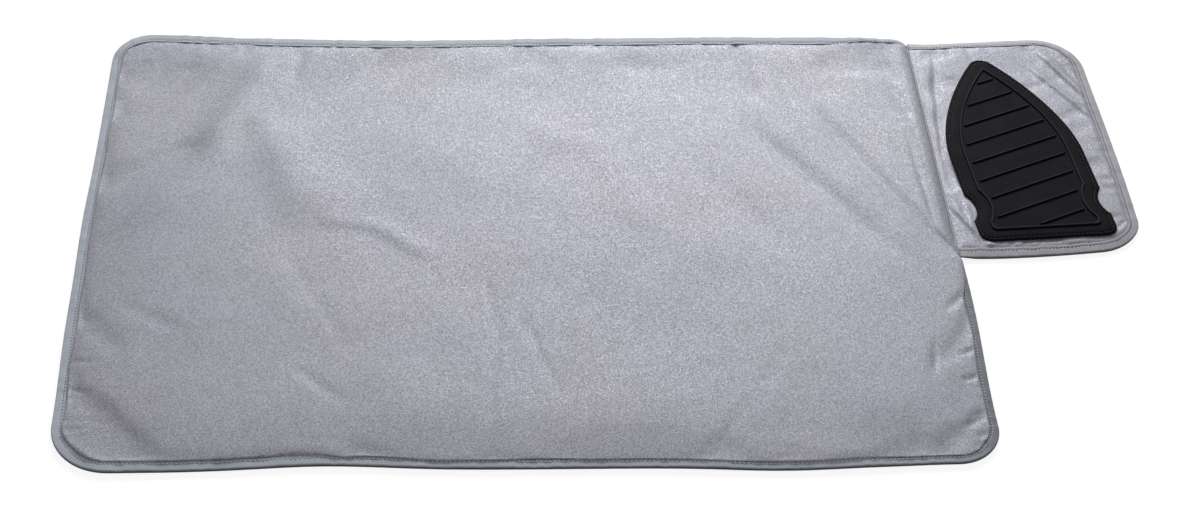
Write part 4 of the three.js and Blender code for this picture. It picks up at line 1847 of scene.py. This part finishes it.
@dataclass
class Flap:
    """The padded flap with its fold strip: face cloth, wadding, backing, edge band and their stitches."""

    sizes: Sizes
    lay: Lay
    corners: tuple = (35.0, 41.0)
    apart: float = 400.0
    lip: float = 9.3
    lip_height: float = 3.7
    lip_run: float = 4.5
    lip_power: float = 2.4
    tuck: float = 1.7
    crown_drop: float = 0.1
    seam_gap: float = 0.25
    seam_height: float = 3.35
    strip_height: float = 4.3
    strip_arch: float = 4.5
    strip_rise: Rise = Rise(1, 6, 9)
    lifted_run: float = 16.0
    cloth: float = 0.5
    free_edge: Rise = Rise(1, -0.5, 4)
    free_seam: Rise = Rise(1, 1, 6)
    swelling: Inflation = Inflation()
    spare: float = 0.25
    cap_ease: float = 0.3
    waves: tuple = (Wave(0.16, 60, 43), Wave(0.1, 26, 44))
    patch_level: float = 0.4
    patches: Wave = Wave(0.6, 70, 41)
    gathers: Wave = Wave(0.35, 10, 42)
    gather_reach: float = 8.0
    seam_lines: tuple = (0.0, 0.8, 2.0)
    face_lines: tuple = (1.5, 4.5, 7.4, 8.8, 9.6, 10.4, 11.4, 12.7, 14.3)
    face_step: float = 1.3
    layer_step: float = 5.0
    layer_gap: float = 0.3
    wadding_start: float = 3.2
    wadding_lines: tuple = (12.0, 15.0)
    wadding_gap: float = 1.0
    wadding_foot: float = 0.5
    wadding_fill: float = 0.5
    backing_lines: tuple = (1.5, 5.5, 8.8, 10.0, 12.0, 15.0)
    backing_lift: Rise = Rise(0.62, -0.4, 3)
    backing_sewn: Rise = Rise(2, 8, 9)
    backing_run: float = 5.0
    backing_hollow: float = 0.22
    backing_wave: Wave = Wave(0.1, 50, 52)
    backing_gathers: Wave = Wave(0.12, 12, 51)
    bend: float = 4.0
    tape: Tape = Tape(width=9.0, outer=2.7, inner=4.2, stitch_inset=6.6, wall=0.45, nose=0.9, dip=0.25)
    tape_colours: tuple = ((0.42, 0.42, 0.465), (0.62, 0.62, 0.685))
    tape_start: float = 0.5
    tape_step: float = 2.6
    tape_turn: float = 5.0
    tape_pucker: float = 0.8
    tape_seed: int = 61
    stitch: StitchRow = StitchRow(pitch=3.0, length=1.8, radius=0.36, dive=0.4, proud=0.3)
    creases: tuple[Crease, ...] = (
        Crease((286.5, 226), (272, 82), 3.4, 1.5), Crease((275.5, 232), (270, 60), 3.2, -0.4),
        Crease((391, 234), (411, 182), 2.8, 0.8), Crease((352, 226), (372, 196), 5, 0.3),
        Crease((318, 242), (321, 220), 2.6, 0.6), Crease((336, 242), (342, 222), 2.6, 0.6),
        Crease((300, 242), (301, 226), 2.6, 0.5), Crease((410, 8), (400, -4), 2.2, 0.7),
    )
    folds: tuple[Crease, ...] = (
        Crease((380, 232), (414, 160), 5, -2.2, right=0.36),
        Crease((368, 211), (415, 132), 4.5, -1.7, right=0.36),
        Crease((263, 42), (286.5, -9), 4, -1.8, right=0.36),
        Crease((269.6, 47), (275.2, 23), 3, -0.9, right=0.5),
        Crease((281, 33), (283.4, 2), 3, -0.9, right=0.5),
        Crease((290.5, -13), (302, -30), 3, -1.5, right=0.5),
    )

    def outline(self, apart: float = 0.0) -> Rounded:
        """Give the flap's drawn outline, with the seam's side moved away."""
        left, right, front, back = self.sizes.flap
        return Rounded((left - apart, right, front, back), (0.0, self.corners[0], 0.0, self.corners[1]))

    def grid(self, start: float, lines: tuple, step: float) -> Pair:
        """Lay a grid over the flap with round outer corners.

        Args:
            start: Where the grid starts beside the seam.
            lines: Insets of the lines near the other edges; the first is the grid's border.
            step: Spacing of the other lines.

        Returns:
            The places across and along, as two grids.
        """
        _, right, front, back = self.sizes.flap
        across = start + stations(self.seam_lines, lines, right - start, step)
        along = front + stations(lines, lines, back - front, step)
        return self.outline().inner(lines[0]).bend(*np.meshgrid(across, along))

    def face_height(self, x: Array, y: Array) -> Array:
        """Give the face's height before its creases.

        The cloth starts low at the seam, arches over the unpadded strip, rises onto the padding and rolls
        down to the band at the other edges.

        Args:
            x: Places across.
            y: Places along.

        Returns:
            The height at each place.
        """
        inset, _, _ = self.outline(self.apart).edge(x, y)
        crown = self.sizes.flap_crown - self.crown_drop
        from_seam = x - self.sizes.seam
        arch = (self.strip_height - self.seam_height) * smooth(from_seam / self.strip_arch)
        strip = self.seam_height + arch
        padded = strip + (crown - self.strip_height) * self.strip_rise.at(from_seam)
        base, scale = self.lifted(x)
        edge = base + scale * (self.lip_height - self.tuck * (1.0 - np.clip(inset / self.lip, 0.0, 1.0)))
        return edge + (padded - edge) * swell((inset - self.lip) / self.lip_run, self.lip_power)

    def lifted(self, x: Array) -> Pair:
        """Give the band's foot, which rises to the seam, and its share of thickness, which halves there."""
        onto = smooth((x - self.sizes.seam) / self.lifted_run)
        return (self.sizes.seam_height - self.tape.inner / 4.0) * (1.0 - onto), 0.5 + 0.5 * onto

    def face(self) -> Piece:
        """Make the face cloth of the flap and its fold strip in one sheet.

        Returns:
            The new object.
        """
        x, y = self.grid(self.sizes.seam + self.seam_gap, self.face_lines, self.face_step)
        inset, edge_x, edge_y = self.outline(self.apart).edge(x, y)
        beyond = inset - self.lip
        free = self.free_edge.at(beyond) * self.free_seam.at(x - self.sizes.seam)
        patch = smooth(self.patch_level + self.patches.at(edge_x, edge_y))
        gathers = self.gathers.at(edge_x, edge_y) * patch * fading(beyond / self.gather_reach)
        waves = sum(wave.at(x, y) for wave in self.waves) + gathers + creased(x, y, self.creases)
        points = np.stack([x, y, self.face_height(x, y) + waves * free], -1)
        points = points + finer(self.swelling.moves(points[::2, ::2], 1.0 - free[::2, ::2]))
        height = capped(points[..., 2], self.sizes.flap_crown + self.spare, self.cap_ease)
        points[..., 2] = height + creased(x, y, self.folds) * free + self.lay.curl(x, y)
        return self.lay.sheet("flap_face", points, self.cloth)

    def wadding(self) -> Piece:
        """Make the flap's thin wadding.

        Returns:
            The new object.
        """
        x, y = self.grid(self.sizes.fold + self.wadding_start, self.wadding_lines, self.layer_step)
        top = self.face_height(x, y) + np.minimum(creased(x, y, self.creases), 0.0) - self.cloth
        floor = self.cloth + self.wadding_foot
        top = np.maximum(top - self.wadding_gap, floor + self.layer_gap)
        return self.lay.layer("flap_wadding_fill", x, y, top, floor)

    def backing(self) -> Piece:
        """Make the flap's backing, flat on the table and lifted to the seam over the fold strip.

        Returns:
            The new object.
        """
        x, y = self.grid(self.sizes.seam + self.seam_gap, self.backing_lines, self.layer_step)
        inset, edge_x, edge_y = self.outline(self.apart).edge(x, y)
        beyond = inset - self.lip
        lifted = np.maximum(self.backing_sewn.down(x - self.sizes.seam), self.backing_lift.down(beyond))
        gathers = self.backing_gathers.at(edge_x, edge_y) * fading(beyond / self.gather_reach)
        hollow = self.backing_hollow + self.backing_wave.at(x, y) + gathers
        bottom = lifted + np.clip(hollow, 0.0, None) * smooth(beyond / self.backing_run)
        return self.lay.layer("flap_backing_cloth", x, y, bottom + self.cloth, bottom)

    def edging(self) -> Edging:
        """Carry the band from the seam along the flap's front, outer side and back, thin over the strip.

        Returns:
            The edging.
        """
        _, right, front, back = self.sizes.flap
        start = self.sizes.seam + self.tape_start
        turns = [(right, front, self.corners[0]), (right, back, self.corners[1])]
        points = [(start, front, 0.0), *turns, (start, back, 0.0)]
        path = Path.through(points, self.tape_step, self.tape_turn)
        base, scale = self.lifted(path.place[:, 0])
        return Edging(self.tape, path, base, scale, np.ones_like(base), self.tape_pucker, self.tape_seed)

    def build(self) -> None:
        """Make and dress every cloth piece, attach the wadding to the flap's body, and bake the other
        pieces' placing into their meshes.
        """
        edging = self.edging()
        face, wadding, backing = self.face(), self.wadding(), self.backing()
        band = edging.piece("flap_edge_band", self.lay)
        needle = edging.stitches("flap_needle_stitches", self.lay, Level.UPPER, self.stitch)
        bobbin = edging.stitches("flap_bobbin_stitches", self.lay, Level.LOWER, self.stitch)
        cloth = FoldedTape("silver_band", *self.tape_colours, *self.tape.rows(), rib=0.62, roughness=0.52)
        dress(face, SILVER, Slot.FACE, "flap_face_cloth", "fold_strip_face")
        dress(wadding, WADDING, Slot.WADDING, "flap_wadding")
        dress(backing, BACKING, Slot.BACKING, "flap_backing", "fold_strip_backing")
        dress(band, cloth, Slot.BAND, "flap_band")
        dress(needle, SILVER_THREAD, Slot.THREAD, "flap_needle_thread")
        dress(bobbin, SILVER_THREAD, Slot.THREAD, "flap_bobbin_thread")
        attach(wadding, Body.FLAP.value)
        level = self.sizes.seam_height * MM
        start = ((self.sizes.fold - self.bend) * MM, 0.0, level)
        end = ((self.sizes.fold + self.bend) * MM, 0.0, level)
        for piece in (face, backing, band, needle, bobbin):
            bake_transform(piece)
        left, right, front, back = self.sizes.flap
        flat = ((right - left) * MM, (back - front) * MM)


@dataclass
class IronRest:
    """The silicone rest: one moulding with a rim, a raised bead and slanting ribs, sewn on round its rim.

    In its own frame the base runs along X through the origin and the nose points along +Y.
    """

    sizes: Sizes
    length: float = 233.0
    width: float = 114.0
    plate: float = 1.8
    relief: float = 1.3
    base_corner: float = 11.0
    least_corner: float = 4.0
    notch_radius: float = 26.0
    notch_depth: float = 5.5
    notch_middle: float = 41.0
    shoulder: float = 104.0
    shoulder_handle: float = 37.0
    nose_radius: float = 11.5
    flank_degrees: float = 36.0
    nose_handle: float = 50.0
    bead_inset: float = 13.0
    bead_width: float = 2.2
    rib_count: int = 9
    rib_width: float = 2.0
    rib_pitch: float = 23.1
    rib_first: float = 18.0
    rib_degrees: float = 20.5
    rib_gap: float = 2.0
    stitch_inset: float = 3.2
    turn_degrees: float = 4.5
    stitch: StitchRow = StitchRow(pitch=3.6, length=2.8, radius=0.25, dive=0.3, proud=0.0)
    stitch_sunk: float = 0.42
    groove: tuple = (
        (-0.9, 0.0), (-0.62, -0.08), (-0.45, -0.5), (0.0, -0.68), (0.45, -0.5), (0.62, -0.08), (0.9, 0.0)
    )
    under: tuple = ((6.0, 0.0), (0.9, 0.0), (0.3, 0.2), (0.0, 0.6), (0.12, 0.95))
    edge: tuple = ((0.5, -0.6), (1.5, -0.22))
    flat: float = 8.0
    bead_power: float = 0.8
    bead_foot: float = 0.5
    rib_end: float = 1.6
    rib_tip: float = 0.04
    rib_sunk: float = 0.5

    def outline(self, inset: float) -> Array:
        """Walk round the rest's outline moved inwards, as closed points with the inside on the left.

        The right half is a base line, a round base corner, a hollow arc in the side, a straight shoulder,
        a cubic curve for the flank and an arc for the nose. The left half mirrors it.

        Args:
            inset: How far inside the rim the line runs.

        Returns:
            The points, always as many.
        """
        half = self.width / 2.0 - inset
        base = max(self.base_corner - inset, self.least_corner)
        notch_x = self.width / 2.0 - self.notch_depth + self.notch_radius
        notch = self.notch_radius + inset
        swing = math.acos((notch_x - half) / notch)
        flank = math.radians(self.flank_degrees)
        nose = self.nose_radius - inset
        nose_y = self.length - self.nose_radius
        tip_x = max(nose, 0.0) * math.cos(flank)
        tip_y = nose_y + (nose * math.sin(flank) if nose > 0.0 else nose / math.sin(flank))

        def line(start: tuple, end: tuple, count: int) -> Array:
            """Give evenly spaced points without the last."""
            return np.linspace(start, end, count, endpoint=False)

        def arc(middle: tuple, radius: float, first: float, last: float, count: int) -> Array:
            """Give points round an arc without the last."""
            turn = np.linspace(first, last, count, endpoint=False)
            return np.stack([middle[0] + radius * np.cos(turn), middle[1] + radius * np.sin(turn)], -1)

        low = self.notch_middle - notch * math.sin(swing)
        high = self.notch_middle + notch * math.sin(swing)
        share = np.linspace(0.0, 1.0, 44, endpoint=False)[:, None]
        handles = np.array([
            (half, self.shoulder),
            (half, self.shoulder + self.shoulder_handle),
            (tip_x + self.nose_handle * math.sin(flank), tip_y - self.nose_handle * math.cos(flank)),
            (tip_x, tip_y),
        ])
        weights = np.concatenate(
            [(1 - share) ** 3, 3 * share * (1 - share) ** 2, 3 * share**2 * (1 - share), share**3], axis=1
        )
        right = np.concatenate([
            line((0.0, inset), (half - base, inset), 16),
            arc((half - base, inset + base), base, -math.pi / 2.0, 0.0, 10),
            line((half, inset + base), (half, low), 4),
            arc((notch_x, self.notch_middle), notch, math.pi + swing, math.pi - swing, 18),
            line((half, high), (half, self.shoulder), 10),
            weights @ handles,
            arc((0.0, nose_y), max(nose, 0.0), flank, math.pi / 2.0, 12)
            if nose > 0.0
            else np.repeat([[0.0, tip_y]], 12, axis=0),
        ])
        tip = np.array([[0.0, nose_y + nose if nose > 0.0 else tip_y]])
        mirrored = right[:0:-1] * [-1.0, 1.0]
        return np.concatenate([right, tip, mirrored])

    def placed(self, points: Array) -> Array:
        """Turn points from the rest's frame and set them where the CAD model has the rest.

        Args:
            points: Points whose last axis is across, along and height above the rest's underside.

        Returns:
            The same points in the model's frame.
        """
        turn = math.radians(self.turn_degrees)
        spin = np.array([[math.cos(turn), -math.sin(turn)], [math.sin(turn), math.cos(turn)]])
        rim = self.outline(0.0) @ spin.T
        moved = points.copy()
        moved[..., :2] = points[..., :2] @ spin.T - rim.min(axis=0) + np.array(self.sizes.rest_low[:2])
        moved[..., 2] += self.sizes.rest_low[2]
        return moved

    def section(self) -> Array:
        """Give the moulding's section, from under the plate to the floor inside the bead.

        The bead is half of a stretched circle, and the stitches' groove has slanting walls.

        Returns:
            Rows of inset and height.
        """
        turn, half = np.linspace(0.0, math.pi, 9), self.bead_width / 2.0
        raised = self.relief * np.sin(turn) ** self.bead_power
        bead = np.stack([self.bead_inset - half * np.cos(turn), raised], -1)
        foot, floor = self.bead_inset - half - self.bead_foot, self.bead_inset + half + self.bead_foot
        upper = np.concatenate([
            self.edge,
            np.add(self.groove, (self.stitch_inset, 0.0)),
            [(self.flat, 0.0), (foot, 0.0)],
            bead,
            [(floor, 0.0), (floor + self.bead_foot, 0.0)],
        ])
        return np.concatenate([self.under, upper + (0.0, self.plate)])

    def ribs(self) -> tuple[Array, list[Array]]:
        """Make the ribs as round-topped bars that reach nearly to the bead and sink into the floor.

        A rib's ends lie where its middle line crosses an inset outline. Along it the height swells from
        nothing over a short way at both ends, and across it the section is half of a stretched circle.

        Returns:
            The points of all ribs, and their faces.
        """
        inside = self.outline(self.bead_inset + self.bead_width / 2.0 + self.rib_gap)
        turn = math.radians(self.rib_degrees)
        way = np.array([math.cos(turn), math.sin(turn)])
        side = np.array([-way[1], way[0]])
        starts = self.rib_first + self.rib_pitch * np.arange(self.rib_count)
        off = inside @ side - (starts * side[1])[:, None]
        onward = np.roll(off, -1, axis=1)
        crosses = off * onward < 0.0
        share = off / np.where(crosses, off - onward, 1.0)
        reach = inside @ way + share * ((np.roll(inside, -1, axis=0) - inside) @ way)
        first = np.where(crosses, reach, np.inf).min(axis=1)
        last = np.where(crosses, reach, -np.inf).max(axis=1)
        tips = np.array([0.0, 0.012, 0.03, 0.06])
        ease = np.concatenate([tips, np.linspace(0.12, 0.88, 12), 1.0 - tips[::-1]])
        angle = np.linspace(0.0, 2.0 * math.pi, 14, endpoint=False)
        run = first[:, None] + (last - first)[:, None] * ease[None, :]
        from_end = np.minimum(run - first[:, None], last[:, None] - run)
        size = np.sqrt(1.0 - (1.0 - np.clip(from_end / self.rib_end, 0.0, 1.0)) ** 2)
        size = size * (1.0 - self.rib_tip) + self.rib_tip
        across = self.rib_width / 2.0 * np.cos(angle)
        up = np.where(np.sin(angle) > 0.0, self.relief, self.rib_sunk) * np.sin(angle)
        base = (starts[:, None] * side[1]) * side[None, :]
        flat = base[:, None, None, :] + run[:, :, None, None] * way
        flat = flat + (size[:, :, None] * across)[..., None] * side
        height = self.plate + size[:, :, None] * up
        points = np.concatenate([flat, height[..., None]], -1)
        return points.reshape(-1, 3), bar_faces(*points.shape[:3], turned=True)

    def moulding(self) -> Piece:
        """Make the moulding: its section carried round the outline, a floor, an underside and the ribs.

        Returns:
            The new object.
        """
        insets, heights = self.section().T
        lines = np.stack([self.outline(inset) for inset in insets])
        rows, columns, _ = lines.shape
        rings = np.concatenate([lines, np.broadcast_to(heights[:, None, None], (rows, columns, 1))], -1)
        quads = grid_quads(rows, columns, ring=True)
        under = np.arange(columns)[None, ::-1]
        floor = np.arange(columns)[None, :] + (rows - 1) * columns
        rib_points, rib_faces = self.ribs()
        points = np.concatenate([rings.reshape(-1, 3), rib_points])
        faces = [quads, under, floor, *[face + rows * columns for face in rib_faces]]
        piece = mesh_piece("iron_rest_moulding", self.placed(points), faces)
        weld(piece)
        return piece

    def stitches(self) -> Piece:
        """Make the black stitches that lie in the groove of the rim.

        Returns:
            The new object.
        """
        line = self.outline(self.stitch_inset)
        closed = np.concatenate([line, line[:1]])
        walked = lengths(closed)
        spots = self.stitch.spots(float(walked[-1]))
        height = np.full(len(spots), self.plate - self.stitch_sunk)
        middle, ahead = (
            self.placed(np.column_stack([between(where % walked[-1], walked, closed), height]))
            for where in (spots, spots + 0.5)
        )
        return self.stitch.piece("iron_rest_stitches", middle, unit((ahead - middle)[:, :2]), Level.UPPER)

    def build(self) -> None:
        """Make and dress the moulding and its stitches, riding on the flap."""
        moulding, stitches = self.moulding(), self.stitches()
        dress(moulding, SILICONE, Slot.SILICONE, "iron_rest")
        dress(stitches, BLACK_THREAD, Slot.BLACK_THREAD, "iron_rest_thread")
        for piece in (moulding, stitches):
            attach(piece, Body.FLAP.value)


@dataclass(frozen=True)
class Studio:
    """A white table top under soft light, seen from the photograph's place."""

    camera_place: tuple = (-132.4, -1336.5, 1189.3)
    azimuth: float = -5.057
    elevation: float = 42.143
    roll: float = 3.204
    lens: float = 68.04
    sensor: float = 36.0
    floor_size: float = 12000.0

    def camera(self) -> None:
        """Set up the camera: turned to an azimuth, an elevation and a small roll."""
        turn, rise, tilt = (math.radians(angle) for angle in (self.azimuth, self.elevation, self.roll))
        level = math.cos(rise)
        ahead = np.array([-math.sin(turn) * level, math.cos(turn) * level, -math.sin(rise)])
        level = unit(np.cross(ahead, [0.0, 0.0, 1.0]))
        up = np.cross(level, ahead)
        right = math.cos(tilt) * level + math.sin(tilt) * up
        top = -math.sin(tilt) * level + math.cos(tilt) * up
        data = bpy.data.cameras.new("camera")
        data.lens = self.lens
        data.sensor_width = self.sensor
        data.sensor_fit = "HORIZONTAL"
        bpy.context.scene.camera = self.hung(data, self.camera_place, [right, top, -ahead])

    @staticmethod
    def hung(data: bpy.types.ID, place: tuple, axes: list[Array]) -> Piece:
        """Add a camera or a lamp to the scene.

        Args:
            data: The camera or the lamp.
            place: Its place in millimetres.
            axes: Its right, its top and its back.

        Returns:
            The new object.
        """
        matrix = np.eye(4)
        matrix[:3, :3] = np.stack(axes, axis=1)
        matrix[:3, 3] = np.array(place) * MM
        piece = bpy.data.objects.new(data.name, data)
        piece.matrix_world = Matrix(matrix.tolist())
        bpy.context.scene.collection.objects.link(piece)
        return piece

    def floor(self) -> None:
        """Lay a white floor that keeps the pad's shadow: part lit, and part glowing where it is seen."""
        half = self.floor_size / 2.0
        x, y = np.meshgrid(np.linspace(-half, half, 3), np.linspace(-half, half, 3))
        piece = mesh_piece("floor", np.stack([x, y, np.full_like(x, -0.3)], -1), [grid_quads(3, 3)])
        shader = Shader("white_floor")
        shader.set(Base_Color=(0.5, 0.5, 0.5, 1.0), Roughness=0.9, Specular_IOR_Level=0.0)
        lit = shader.node("ShaderNodeBsdfDiffuse", {}, {"Color": (0.34, 0.34, 0.34, 1.0)})
        glow = shader.node("ShaderNodeEmission", {}, {"Color": (1.0, 1.0, 1.0, 1.0), "Strength": 0.85})
        both = shader.node("ShaderNodeAddShader", {}, {0: lit, 1: glow})
        plain = Socket(shader, shader.surface.outputs["BSDF"])
        rays = [
            shader.node("ShaderNodeLightPath", {}, {}, f"Is {kind} Ray")
            for kind in ("Camera", "Glossy", "Transmission")
        ]
        seen = rays[0].math("MAXIMUM", rays[1]).math("MAXIMUM", rays[2])
        mixed = shader.node("ShaderNodeMixShader", {}, {0: seen, 1: plain, 2: both})
        shader.feed(shader.output.inputs["Surface"], mixed)
        piece.data.materials.append(shader.material)

    def lamp(self, name: str, place: tuple, size: tuple, power: float) -> None:
        """Hang a soft rectangular lamp that faces the pad.

        Args:
            name: The lamp's name.
            place: Its place in millimetres.
            size: Its two sides in millimetres.
            power: Its power in watts.
        """
        data = bpy.data.lights.new(name, "AREA")
        data.shape = "RECTANGLE"
        data.size, data.size_y = (side * MM for side in size)
        data.energy = power
        back = unit(np.array(place))
        side = unit(np.cross([0.0, 1.0, 0.0], back))
        self.hung(data, place, [side, np.cross(back, side), back])

    def lights(self) -> None:
        """Light the table by a large lamp behind and above, a weak one in front, and an even sky."""
        self.lamp("back_softbox", (280.0, 2450.0, 1300.0), (1500.0, 900.0), 59.0)
        self.lamp("front_fill", (-600.0, -1500.0, 1900.0), (1600.0, 1200.0), 3.5)
        world = bpy.data.worlds.new("studio")
        world.use_nodes = True
        sky = world.node_tree.nodes["Background"]
        sky.inputs["Color"].default_value = (1.0, 1.0, 1.0, 1.0)
        sky.inputs["Strength"].default_value = 0.2
        bpy.context.scene.world = world

    def build(self) -> None:
        """Set up the camera, floor, lamps and colour handling."""
        self.camera()
        self.floor()
        self.lights()
        bpy.context.scene.view_settings.view_transform = "Standard"


def write_sizes() -> None:
    """Bring the view layer up to date."""
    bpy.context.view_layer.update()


def main() -> None:
    """Build the studio, the main panel, the flap and the iron rest, in that order."""
    logging.basicConfig(level=logging.INFO, format="%(name)s %(message)s")
    sizes = Sizes.read()
    lay = Lay(sizes.main, sizes.flap)
    Studio().build()
    MainPanel(sizes, lay).build()
    Flap(sizes, lay).build()
    IronRest(sizes).build()
    write_sizes()


if __name__ == "__main__":
    main()
